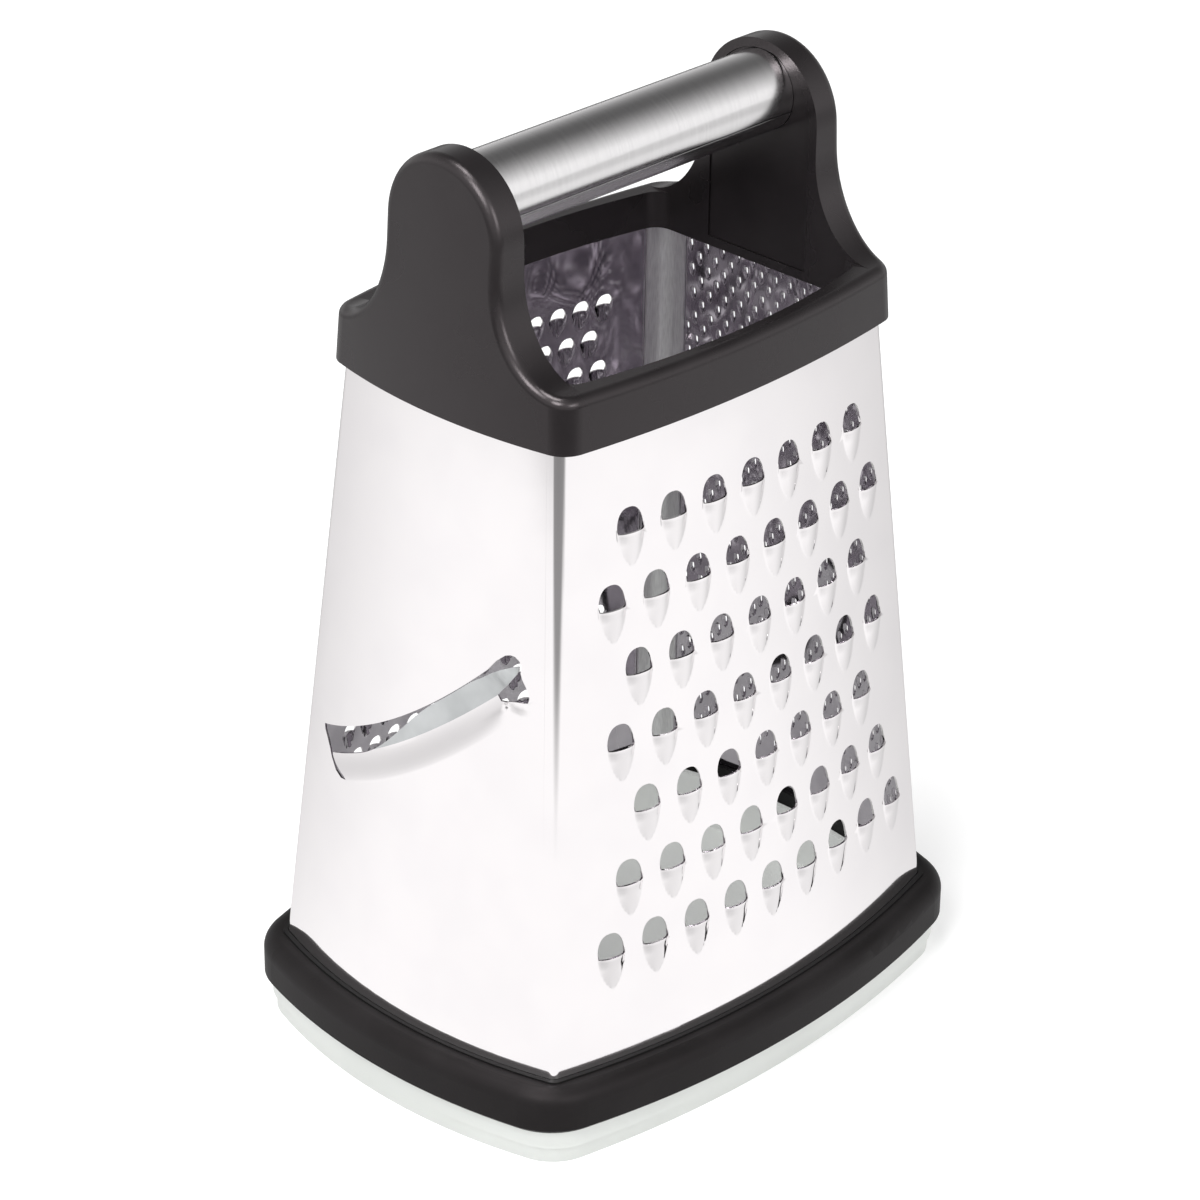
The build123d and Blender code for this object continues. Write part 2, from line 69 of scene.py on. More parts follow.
@dataclass(frozen=True)
class Step:
    """A change from start to end, while another value goes from low to high."""

    low: float
    high: float
    start: float = 0.0
    end: float = 1.0
    curve: Curve = Curve.SMOOTH


@dataclass(frozen=True)
class Noise:
    """Soft noise: its scale, detail and roughness, and its stretch along each axis."""

    scale: float
    detail: float = 2.0
    rough: float = 0.5
    stretch: Triple = (1.0, 1.0, 1.0)


Relief = tuple[tuple[Noise, float], ...]


class Signal:
    """A shader socket carrying one value, which can stand in sums."""

    def __init__(self, paint: "Paint", socket: Any) -> None:
        """Keeps the socket and the tree that it belongs to."""
        self.paint = paint
        self.socket = socket

    def maths(self, operation: str, *terms: Any) -> "Signal":
        """Adds a Math node.

        Args:
            operation: The node's operation.
            terms: Its inputs, as signals or numbers.

        Returns:
            The node's result.
        """
        return self.paint.signal("ShaderNodeMath", {"operation": operation}, dict(enumerate(terms)))

    def __add__(self, other: Any) -> "Signal":
        """The sum."""
        return self.maths("ADD", self, other)

    def __radd__(self, other: Any) -> "Signal":
        """The sum, from the right."""
        return self.maths("ADD", other, self)

    def __sub__(self, other: Any) -> "Signal":
        """The difference."""
        return self.maths("SUBTRACT", self, other)

    def __rsub__(self, other: Any) -> "Signal":
        """The difference, from the right."""
        return self.maths("SUBTRACT", other, self)

    def __mul__(self, other: Any) -> "Signal":
        """The product."""
        return self.maths("MULTIPLY", self, other)

    def __rmul__(self, other: Any) -> "Signal":
        """The product, from the right."""
        return self.maths("MULTIPLY", other, self)

    def __truediv__(self, other: Any) -> "Signal":
        """The quotient."""
        return self.maths("DIVIDE", self, other)

    def __rtruediv__(self, other: Any) -> "Signal":
        """The quotient, from the right."""
        return self.maths("DIVIDE", other, self)

    def power(self, exponent: float) -> "Signal":
        """This value raised to an exponent."""
        return self.maths("POWER", self, exponent)

    def magnitude(self) -> "Signal":
        """This value without its sign."""
        return self.maths("ABSOLUTE", self)

    def greater(self, other: Any) -> "Signal":
        """The greater of this value and another."""
        return self.maths("MAXIMUM", self, other)

    def ramp(self, step: Step) -> "Signal":
        """A value that changes while this one goes from low to high.

        Args:
            step: Both ranges, and the curve between them.

        Returns:
            The new value.
        """
        ends = {"From Min": step.low, "From Max": step.high, "To Min": step.start, "To Max": step.end}
        return self.paint.signal(
            "ShaderNodeMapRange",
            {"interpolation_type": step.curve.value},
            {"Value": self, **ends},
            "Result",
        )


class Paint:
    """The node tree of a material or a world, built with plain calls."""

    def __init__(self, owner: Any, output: str = "ShaderNodeOutputMaterial") -> None:
        """Empties the tree of a material or a world, and gives it an output node.

        Args:
            owner: The material or the world.
            output: The output node's type.
        """
        owner.use_nodes = True
        self.owner = owner
        self.tree = owner.node_tree
        self.tree.nodes.clear()
        self.output = self.tree.nodes.new(output)

    @classmethod
    def named(cls, name: str) -> "Paint":
        """Starts a new material."""
        return cls(bpy.data.materials.new(name))

    def node(self, kind: str, settings: dict[str, Any], inputs: dict[Any, Any]) -> Any:
        """Adds a node.

        Args:
            kind: The node's type.
            settings: Its properties, set before its sockets.
            inputs: Values, signals or sockets by input name or number.

        Returns:
            The new node.
        """
        made = self.tree.nodes.new(kind)
        for key, value in settings.items():
            setattr(made, key, value)
        for key, value in inputs.items():
            socket = made.inputs[key]
            value = value.socket if isinstance(value, Signal) else value
            if isinstance(value, bpy.types.NodeSocket):
                self.tree.links.new(value, socket)
            elif isinstance(value, tuple):
                socket.default_value = (*value, 1.0)[: len(socket.default_value)]
            else:
                socket.default_value = value
        return made

    def signal(
        self, kind: str, settings: dict[str, Any], inputs: dict[Any, Any], output: Any = 0
    ) -> Signal:
        """Adds a node and wraps one of its outputs."""
        return Signal(self, self.node(kind, settings, inputs).outputs[output])

    def place(self) -> Any:
        """The point in the object's own frame, in metres."""
        return self.node("ShaderNodeTexCoord", {}, {}).outputs["Object"]

    def axes(self) -> tuple[Signal, Signal, Signal]:
        """The three parts of the object's own point, in millimetres."""
        parts = self.node("ShaderNodeSeparateXYZ", {}, {"Vector": self.place()})
        x, y, z = (Signal(self, parts.outputs[i]) * (1 / MM) for i in range(3))
        return x, y, z

    def noise(self, noise: Noise) -> Signal:
        """Soft noise between 0 and 1 on the object's own point.

        Args:
            noise: Its scale, detail, roughness and stretch.

        Returns:
            The noise's value.
        """
        vector = self.place()
        if noise.stretch != (1.0, 1.0, 1.0):
            turned = self.node("ShaderNodeMapping", {}, {"Vector": vector, "Scale": noise.stretch})
            vector = turned.outputs[0]
        sizes = {"Scale": noise.scale, "Detail": noise.detail, "Roughness": noise.rough}
        return self.signal("ShaderNodeTexNoise", {}, {"Vector": vector, **sizes}, "Fac")

    def tint(self, amount: Any, low: Any, high: Any) -> Any:
        """A colour between two others."""
        inputs = {"Factor": amount, MIX_LOW: low, MIX_HIGH: high}
        return self.node("ShaderNodeMix", {"data_type": "RGBA"}, inputs).outputs[MIX_RESULT]

    def bump(self, height: Signal) -> Any:
        """A surface normal roughened by a height in metres."""
        inputs = {"Height": height, "Distance": 1.0, "Strength": 1.0}
        return self.node("ShaderNodeBump", {}, inputs).outputs[0]

    def close(self, shader: Any) -> Any:
        """Ends the tree with a shader, and gives back the material or world."""
        self.tree.links.new(shader.outputs[0], self.output.inputs["Surface"])
        return self.owner

    def surface(self, **inputs: Any) -> bpy.types.Material:
        """Closes the tree with a Principled shader.

        Args:
            inputs: Its sockets, with _ for a space in their names.

        Returns:
            The finished material.
        """
        named = {key.replace("_", " "): value for key, value in inputs.items()}
        return self.close(self.node("ShaderNodeBsdfPrincipled", {}, named))


# Finishes


@dataclass(frozen=True)
class Finish:
    """A finish that drifts: its colour from low to high, and its roughness over gloss.

    Drift is the noise of the colour, and of the roughness too where sheen names no noise
    of its own. Relief is a sum of noises, each times its height in metres.
    """

    low: Colour
    high: Colour
    drift: Noise
    wear: Step
    gloss: Step
    relief: Relief
    sheen: Noise | None = None

    def fixed(self) -> dict[str, Any]:
        """The shader's inputs that are the same all over."""
        return {"Metallic": 1.0}

    def colouring(self, p: Paint, base: Any) -> Any:
        """The colour that shows, made from the one that drifts."""
        return base

    def paint(self, name: str) -> bpy.types.Material:
        """Builds the material.

        Args:
            name: Its name.

        Returns:
            The material.
        """
        p = Paint.named(name)
        sheen = self.sheen or self.drift
        kinds = dict.fromkeys([self.drift, sheen, *(noise for noise, _ in self.relief)])
        found = {noise: p.noise(noise) for noise in kinds}
        heights = [found[noise] * height for noise, height in self.relief]
        base = p.tint(found[self.drift].ramp(self.wear), self.low, self.high)
        return p.surface(
            Base_Color=self.colouring(p, base),
            Roughness=found[sheen].ramp(self.gloss),
            Normal=p.bump(sum(heights[1:], heights[0])),
            **self.fixed(),
        )


@dataclass(frozen=True)
class MirrorSheet(Finish):
    """Polished stainless sheet, with the slow waves that rolling and punching leave."""

    low: Colour = (0.955, 0.925, 0.932)
    high: Colour = (0.935, 0.905, 0.915)
    drift: Noise = Noise(60.0, 4.0)
    wear: Step = Step(0.35, 0.75)
    gloss: Step = Step(0.3, 0.8, 0.055, 0.095)
    relief: Relief = (
        (Noise(20.0, 1.5, stretch=(1.0, 1.0, 0.6)), 0.0003),
        (Noise(2600.0, stretch=(1.0, 1.0, 0.05)), 0.0000015),
    )


@dataclass(frozen=True)
class ShadedInnerSheet(Finish):
    """The sheet's inside: an unworked, wavy mirror whose darker colour is painted shade."""

    # Painted shade: darker than the outside sheet, for the dark inside of the grater
    low: Colour = (0.60, 0.56, 0.61)
    high: Colour = (0.50, 0.465, 0.51)
    drift: Noise = Noise(80.0)
    wear: Step = Step(0.35, 0.7)
    gloss: Step = Step(0.3, 0.8, 0.07, 0.11)
    relief: Relief = ((Noise(40.0, 0.5, stretch=(1.0, 1.0, 0.7)), 0.0055),)


@dataclass(frozen=True)
class GroundEdge(Finish):
    """The satin facet that grinding leaves along a blade's edge, in fine strokes."""

    strokes = Noise(1800.0, 3.0, stretch=(1.0, 0.25, 0.25))
    low: Colour = (0.60, 0.615, 0.62)
    high: Colour = (0.70, 0.715, 0.72)
    drift: Noise = Noise(90.0)
    wear: Step = Step(0.3, 0.7)
    gloss: Step = Step(0.3, 0.7, 0.33, 0.43)
    relief: Relief = ((strokes, 0.000004),)
    sheen: Noise | None = strokes


@dataclass(frozen=True)
class BrushedTube:
    """Brushed steel tube: fine lines run round it, and a seam runs along it.

    Heights of the tube's axis, of the seam above it, and the seam's steps are in millimetres.
    """

    colour: Colour = (0.86, 0.845, 0.85)
    dark: Colour = (0.79, 0.775, 0.78)
    seam: Colour = (0.12, 0.12, 0.12)
    axis_height: float = 233.1
    seam_height: float = -3.2
    seam_edge: Step = Step(0.10, 0.24, 1.0, 0.0)
    seam_side: Step = Step(-0.2, 0.2, 1.0, 0.0)
    lines: Noise = Noise(5200.0, 3.0, 0.7, (1.0, 0.02, 0.02))
    bands: Noise = Noise(1500.0, 2.0, 0.6, (1.0, 0.03, 0.03))
    lines_share: float = 0.65
    streaks: Step = Step(0.3, 0.7)
    gloss: Step = Step(0.25, 0.75, 0.18, 0.23)
    line_depth: float = 0.000003
    seam_depth: float = 0.0001

    def paint(self, name: str) -> bpy.types.Material:
        """Builds the material.

        Args:
            name: Its name.

        Returns:
            The material.
        """
        p = Paint.named(name)
        _, y, z = p.axes()
        from_seam = (z - (self.axis_height + self.seam_height)).magnitude()
        seam = from_seam.ramp(self.seam_edge) * y.ramp(self.seam_side)
        lines = p.noise(self.lines)
        streak = lines * self.lines_share + p.noise(self.bands) * (1 - self.lines_share)
        steel = p.tint(streak.ramp(self.streaks), self.dark, self.colour)
        height = lines * self.line_depth - seam * self.seam_depth
        return p.surface(
            Base_Color=p.tint(seam, steel, self.seam),
            Metallic=1.0,
            Roughness=streak.ramp(self.gloss),
            Normal=p.bump(height),
        )


@dataclass(frozen=True)
class SeamSteel(Finish):
    """Plain strip steel, brushed along its length in fine lines."""

    lines = Noise(3000.0, stretch=(1.0, 1.0, 0.01))
    low: Colour = (0.80, 0.79, 0.80)
    high: Colour = (0.93, 0.925, 0.93)
    drift: Noise = lines
    wear: Step = Step(0.3, 0.7)
    gloss: Step = Step(0.3, 0.7, 0.38, 0.46)
    relief: Relief = ((lines, 0.00001),)


@dataclass(frozen=True)
class Moulding(Finish):
    """A satin moulded plastic with a fine spark-eroded grain."""

    drift: Noise = Noise(45.0, 3.0)
    wear: Step = Step(0.35, 0.7)
    gloss: Step = Step(0.3, 0.75, 0.47, 0.55)
    relief: Relief = ((Noise(2600.0, 3.0, 0.6), 0.000012),)
    specular: float = 0.5
    shine: Colour = (1.0, 0.90, 0.93)

    def fixed(self) -> dict[str, Any]:
        """The shader's inputs that are the same all over."""
        return {"Specular_IOR_Level": self.specular, "Specular_Tint": self.shine}


@dataclass(frozen=True)
class Lipped(Finish):
    """A grey moulding whose top edge, above the lip's height, is as black as the soft ring."""

    low: Colour = (0.30, 0.29, 0.29)
    high: Colour = (0.27, 0.26, 0.26)
    drift: Noise = Noise(45.0, 3.0)
    wear: Step = Step(0.35, 0.7)
    gloss: Step = Step(0.3, 0.75, 0.5, 0.56)
    relief: Relief = ((Noise(2000.0), 0.00001),)
    specular: float = 0.2
    lip: Colour = (0.008, 0.0074, 0.0076)
    lip_height: Step = Step(16.0, 16.4)

    def fixed(self) -> dict[str, Any]:
        """The shader's inputs that are the same all over."""
        return {"Specular_IOR_Level": self.specular}

    def colouring(self, p: Paint, base: Any) -> Any:
        """Grey below the lip's height, in millimetres, and black above it."""
        return p.tint(p.axes()[2].ramp(self.lip_height), base, self.lip)


@dataclass(frozen=True)
class Frosted(Finish):
    """Frosted plastic, nearly white. A weak glow stands in for light that comes through it."""

    frost = Noise(1500.0, 3.0)
    low: Colour = (0.46, 0.475, 0.455)
    high: Colour = (0.43, 0.445, 0.425)
    drift: Noise = Noise(30.0)
    wear: Step = Step(0.3, 0.7)
    gloss: Step = Step(0.3, 0.7, 0.38, 0.46)
    relief: Relief = ((frost, 0.00001),)
    sheen: Noise | None = frost
    through: Colour = (0.985, 1.0, 0.985)
    glow: float = 0.27
    milk: float = 0.25
    milk_depth: float = 0.004
    milk_reach: Triple = (1.0, 1.0, 0.9)

    def fixed(self) -> dict[str, Any]:
        """The glow, and the milkiness just under the surface."""
        return {
            "Emission_Color": self.through,
            "Emission_Strength": self.glow,
            "Subsurface_Weight": self.milk,
            "Subsurface_Radius": self.milk_reach,
            "Subsurface_Scale": self.milk_depth,
        }


# The steel body as a surface


def pair(first: Array, second: Array) -> Array:
    """Rows of two, from their first and second parts."""
    return np.stack([first, second], axis=-1)


def closed(count: int) -> Array:
    """The edges of a closed chain of points, as pairs of their numbers."""
    return pair(np.arange(count), (np.arange(count) + 1) % count)


class Side(Enum):
    """The four walls, with their quarter turns from the coarse one."""

    COARSE = 0
    FINE = 1
    MEDIUM = 2
    SLICING = 3


@dataclass(frozen=True)
class SteelBody:
    """Sizes of the steel: corner to corner half sizes and bows at two levels, and its bends."""

    level: float = 22.0
    show: float = 161.0
    foot: float = 14.0
    head: float = 192.0
    half_length: tuple[float, float] = (68.4, 55.9)
    half_width: tuple[float, float] = (48.2, 36.1)
    bow_wide: tuple[float, float] = (9.8, 5.7)
    bow_narrow: tuple[float, float] = (8.1, 4.6)
    sheet: float = 0.5
    bend: float = 2.6
    seam_reach: float = 3.4
    seam_gap: float = 0.12
    bend_run: float = 4.2
    wrap_run: float = 1.6
    wrap_over: float = 0.2

    def between(self, pair: tuple[float, float], z: Array) -> Array:
        """A size at a height, from its values at the two levels."""
        return pair[0] + (pair[1] - pair[0]) * (z - self.level) / self.show

    def sizes(self, wide: bool, z: Array) -> tuple[Array, Array, Array]:
        """The sizes of a wall at a height.

        Args:
            wide: Whether it is one of the wide walls.
            z: Heights.

        Returns:
            Half its chord, its distance from the middle, and its bow.
        """
        long, short = self.between(self.half_length, z), self.between(self.half_width, z)
        if wide:
            return long, short, self.between(self.bow_wide, z)
        return short, long, self.between(self.bow_narrow, z)


@dataclass(frozen=True)
class Wall:
    """One wall with the bend at its near corner, as a surface of along and height.

    A point is on the straight line between the wall's arcs at the foot and at the head.
    Along runs from the wall's middle, over the bend and a short way round the corner.
    """

    side: Side
    body: SteelBody = SteelBody()

    @property
    def is_wide(self) -> bool:
        """Whether this is one of the two wide walls."""
        return self.side.value % 2 == 0

    def arc(self, z: Array, own: bool = True) -> tuple[Array, Array, Array]:
        """One wall's arc at a height, with radius (half**2 + bow**2) / (2 * bow).

        Args:
            z: Heights.
            own: Whether the arc is this wall's, and not its neighbour's.

        Returns:
            The radius, the distance of its centre past the middle, and half its angle.
        """
        wide = self.is_wide == own
        half, reach, bow = self.body.sizes(wide, z)
        radius = (half * half + bow * bow) / (2 * bow)
        return radius, radius - bow - reach, np.arcsin(half / radius)

    def corner(self, z: Array) -> tuple[Array, Array, Array, Array]:
        """The bend at the near corner, whose centre is where the shrunk arcs cross.

        Args:
            z: Heights.

        Returns:
            The centre's x and y, and the angles at which the bend starts and ends.
        """
        r1, c1, _ = self.arc(z)
        r2, c2, _ = self.arc(z, own=False)
        near1, near2 = r1 - self.body.bend, r2 - self.body.bend
        apart = np.hypot(c1, c2)
        toward = (near1**2 - near2**2 + apart**2) / (2 * apart)
        aside = np.sqrt(near1**2 - toward**2)
        x = (toward * c2 - aside * c1) / apart
        y = c1 - (toward * c1 + aside * c2) / apart
        start = np.arctan2(y - c1, x)
        end = np.arctan2(y, x - c2) + 2 * np.pi
        return x, y, start + 2 * np.pi, end

    def tangent(self, z: Array) -> Array:
        """Where the bend starts.

        Args:
            z: Heights.

        Returns:
            Places along the wall, which are negative: the radius times the angle.
        """
        radius, _, _ = self.arc(z)
        _, _, start, _ = self.corner(z)
        return -radius * (1.5 * np.pi - start)

    def limits(self, z: Array) -> tuple[Array, Array]:
        """The ends of the sheet.

        Args:
            z: Heights.

        Returns:
            The least and the greatest place along the wall.
        """
        radius, _, _ = self.arc(z)
        half, _, _ = self.body.sizes(self.is_wide, z)
        far = np.arcsin((half - self.body.seam_reach + self.body.seam_gap) / radius)
        return self.tangent(z) - self.body.bend_run - self.body.wrap_run, radius * far

    def level_point(self, along: Array, z: Array, z_at: float) -> Array:
        """The plan point at one level that a surface point is ruled from.

        Args:
            along: The surface point's place along the wall.
            z: The surface point's height.
            z_at: The level, foot or head.

        Returns:
            Rows of x and y, on the wall's arc, round the bend or on the neighbour's arc.
        """
        radius, _, half_angle = self.arc(z)
        own_share = along / (radius * half_angle)
        at = np.full_like(z, z_at)
        r1, c1, half = self.arc(at)
        x, y, start, end = self.corner(at)
        edge = (1.5 * np.pi - start) / half
        angle = np.maximum(own_share, -edge) * half
        wall = pair(r1 * np.sin(angle), c1 - r1 * np.cos(angle))
        past = self.tangent(z) - along
        around = start + (end - start) * np.clip(past / self.body.bend_run, 0, 1)
        bend = pair(x + self.body.bend * np.cos(around), y + self.body.bend * np.sin(around))
        r2, c2, _ = self.arc(at, own=False)
        half2, _, _ = self.body.sizes(not self.is_wide, at)
        stop = np.pi + np.arcsin((half2 - self.body.seam_reach) / r2)
        over = self.body.wrap_over
        share = np.clip((past - self.body.bend_run) / self.body.wrap_run, -over, 1 + over)
        swing = end + (stop - end) * share
        wrap = pair(c2 + r2 * np.cos(swing), r2 * np.sin(swing))
        on_bend = (past > 0)[:, None]
        on_wrap = (past > self.body.bend_run)[:, None]
        return np.where(on_wrap, wrap, np.where(on_bend, bend, wall))

    def point(self, along: Array, z: Array) -> Array:
        """The surface's points: foot + (head - foot) * share of the height, turned to the side.

        Args:
            along: Places along the wall.
            z: Heights.

        Returns:
            Rows of x, y and z in the grater's frame, in millimetres.
        """
        share = ((z - self.body.foot) / (self.body.head - self.body.foot))[:, None]
        low = self.level_point(along, z, self.body.foot)
        high = self.level_point(along, z, self.body.head)
        plan = low + (high - low) * share
        turn = self.side.value * np.pi / 2
        c, s = round(np.cos(turn)), round(np.sin(turn))
        x = c * plan[:, 0] - s * plan[:, 1]
        y = s * plan[:, 0] + c * plan[:, 1]
        return np.stack([x, y, z], axis=-1)


def unit(vectors: Array) -> Array:
    """The vectors at length one."""
    return vectors / np.linalg.norm(vectors, axis=-1, keepdims=True)


def facing(surface: Callable[[Array, Array], Array], along: Array, z: Array) -> Array:
    """Normals of a surface of along and height: the cross of its two small differences.

    Args:
        surface: The surface's function.
        along: Places along the wall.
        z: Heights.

    Returns:
        Outward directions of length one.
    """
    step = 0.04
    across = surface(along + step, z) - surface(along - step, z)
    up = surface(along, z + step) - surface(along, z - step)
    return unit(np.cross(across, up))


# Teeth


@dataclass(frozen=True)
class Tooth:
    """A punched tooth: a rounded opening with a hood pushed out below it.

    The opening is half a superellipse above the cutting edge, with the exponent round_power.
    The hood is a petal below it. At a share s of its length its half width is
    half_width * flare * (1 - s**taper) ** taper_round, and its height is rise * (1 - s) ** fall.
    Across it, at a share x of that half width, the height is also times
    (1 - x**taper) ** crown, where crown grows over the first part, crown_run, of the length.
    """

    half_width: float
    opening: float
    length: float
    rise: float
    rim_points: int = 17
    rows: tuple[float, ...] = (0.0, 0.1, 0.22, 0.36, 0.5, 0.64, 0.78, 0.9, 1.0)
    columns: int = 11
    round_power: float = 2.4
    flare: float = 1.02
    taper: float = 2.4
    taper_round: float = 0.8
    crown: tuple[float, float] = (0.6, 0.8)
    crown_run: float = 0.3
    fall: float = 1.05
    edge_slack: float = 0.1
    collar_gap: float = 0.45
    foot_gap: float = 0.72
    side_room: float = 1.1
    foot_room: float = 1.4

    @property
    def middle(self) -> float:
        """The height of the tooth's middle above its cutting edge."""
        return (self.opening - self.length) / 2

    def rim(self) -> Array:
        """The opening's rim from its right end over the top to its left end."""
        angle = np.linspace(0, np.pi, self.rim_points)
        x = np.sign(np.cos(angle)) * np.abs(np.cos(angle)) ** (2 / self.round_power)
        return pair(self.half_width * x, self.opening * np.sin(angle) ** (2 / self.round_power))

    def half_at(self, share: Array) -> Array:
        """The hood's half width at a share of its length."""
        return self.half_width * self.flare * np.clip(1 - share**self.taper, 0, 1) ** self.taper_round

    def is_open(self, x: Array, y: Array) -> Array:
        """Whether points lie in the opening.

        Args:
            x: Distance from the tooth's middle line.
            y: Height above its cutting edge.

        Returns:
            True inside the superellipse and above the edge.
        """
        upper = np.clip(y, 0, None)
        shape = (np.abs(x) / self.half_width) ** self.round_power
        shape = shape + (upper / self.opening) ** self.round_power
        return (y > 0) & (shape < 1)

    def crowds(self, x: Array, y: Array) -> Array:
        """Whether points are too near the tooth for the panel's own grid."""
        top, foot = self.opening + self.side_room, self.length + self.foot_room
        return (np.abs(x) < self.half_width + self.side_room) & (y < top) & (y > -foot)

    def lift(self, x: Array, y: Array) -> Array:
        """The hood's height above the wall.

        Args:
            x: Distance from the tooth's middle line.
            y: Height above its cutting edge.

        Returns:
            The height by the class's formula, and nothing above the cutting edge.
        """
        share = np.clip(-y / self.length, 0, 1)
        half = np.maximum(self.half_at(share), 1e-6)
        crown = self.crown[0] + self.crown[1] * np.clip(share / self.crown_run, 0, 1)
        across = np.clip(1 - np.abs(x / half) ** self.taper, 0, 1) ** crown
        return np.where(y < self.edge_slack, self.rise * across * (1 - share) ** self.fall, 0.0)

    def layout(self) -> tuple[Array, Array]:
        """The tooth's own points and the edges between them that must be kept.

        Returns:
            Points as rows of x and y, and edges as pairs of their numbers.
        """
        inner = self.rim()[1:-1]
        shares = np.array(self.rows[:-1])
        spread = np.sin(np.linspace(-1, 1, self.columns) * np.pi / 2)
        halves = np.where(shares > 0, self.half_at(shares), self.half_width)
        hood = pair(np.outer(halves, spread).ravel(), np.repeat(-shares * self.length, self.columns))
        tip = np.array([[0.0, -self.length]])
        points = np.concatenate([hood, tip, inner, self.collar()])
        n, rows = self.columns, len(shares)
        tip_at = rows * n
        edge = [(i, i + 1) for i in range(n - 1)]
        for column in (0, n - 1):
            edge += [(r * n + column, (r + 1) * n + column) for r in range(rows - 1)]
            edge.append(((rows - 1) * n + column, tip_at))
        chain = [n - 1, *range(tip_at + 1, tip_at + 1 + len(inner)), 0]
        return points, np.array(edge + list(zip(chain[:-1], chain[1:])))

    def collar(self) -> Array:
        """A ring of points just outside the tooth, for a crisp edge."""
        angle = np.linspace(0, 2 * np.pi, 2 * self.rim_points, endpoint=False)
        x, y = np.cos(angle), np.sin(angle)
        power = np.where(y > 0, 2 / self.round_power, 1.0)
        tall = np.where(y > 0, self.opening + self.collar_gap, self.length + self.foot_gap)
        wide = self.half_width + self.collar_gap
        return pair(wide * np.sign(x) * np.abs(x) ** power, tall * np.sign(y) * np.abs(y) ** power)


@dataclass(frozen=True)
class Pierce:
    """A small tear-shaped hole whose rim is burst outwards.

    The half width is half_width at the top, and narrows with the height towards the foot,
    by waist + (1 - waist) * y, where y goes from -1 at the foot to 1 at the top.
    """

    half_width: float = 0.75
    height: float = 3.3
    burr: float = 0.5
    waist: float = 0.62
    collar_gap: float = 0.45
    ring_gap: float = 0.65
    points: int = 8
    inner: float = 0.93
    side_room: float = 1.05
    end_room: float = 0.9
    middle: float = 0.0

    def narrow(self, y: Array) -> Array:
        """The share of the half width at a height from -1 to 1."""
        return self.waist + (1 - self.waist) * y

    def ring(self, grow: float) -> Array:
        """The hole's outline, moved outwards."""
        angle = np.linspace(0, 2 * np.pi, self.points, endpoint=False) + np.pi / 2
        wide = self.half_width * self.narrow(np.sin(angle)) + grow
        return pair(wide * np.cos(angle), (self.height / 2 + grow) * np.sin(angle))

    def reach(self, x: Array, y: Array) -> Array:
        """How far out a point is: 1 on the rim, less inside."""
        up = 2 * y / self.height
        return np.hypot(x / (self.half_width * self.narrow(np.clip(up, -1, 1))), up)

    def is_open(self, x: Array, y: Array) -> Array:
        """Whether points lie in the hole."""
        return self.reach(x, y) < self.inner

    def crowds(self, x: Array, y: Array) -> Array:
        """Whether points are too near the hole for the panel's own grid."""
        near = np.abs(x) < self.half_width + self.side_room
        return near & (np.abs(y) < self.height / 2 + self.end_room)

    def lift(self, x: Array, y: Array) -> Array:
        """The burst rim's height above the wall, falling off over a short way from the rim."""
        past = (1 - 1 / np.maximum(self.reach(x, y), 1.0)) * np.hypot(x, y)
        return self.burr * np.clip(1 - past / self.collar_gap, 0, 1)

    def layout(self) -> tuple[Array, Array]:
        """The hole's rim and a ring round it, with the rim's edges kept."""
        return np.concatenate([self.ring(0), self.ring(self.ring_gap)]), closed(self.points)


@dataclass(frozen=True)
class ToothRows:
    """Staggered rows of one kind of tooth on a wall, with a margin left free at each end."""

    tooth: Tooth | Pierce
    pitch: float
    row_pitch: float
    first_row: float
    rows: int
    margin: float
    shift: float = 0.0

    def places(self, wall: Wall) -> Array:
        """The middle of every tooth's cutting edge.

        Args:
            wall: The wall that the rows are on.

        Returns:
            Rows of along and height. Every second row has an odd number, the top one too.
        """
        found = []
        for row in range(self.rows):
            z = np.array([wall.body.level + self.first_row + row * self.row_pitch])
            radius, _, half = wall.arc(z)
            room = float((radius * half)[0]) - self.margin
            odd = (self.rows - 1 - row) % 2 == 0
            count = 2 * int(room / self.pitch) + 1 if odd else 2 * int(room / self.pitch + 0.5)
            along = (np.arange(count) - (count - 1) / 2) * self.pitch + self.shift
            found.append(pair(along, np.full(count, z[0])))
        return np.concatenate(found)


# Panels


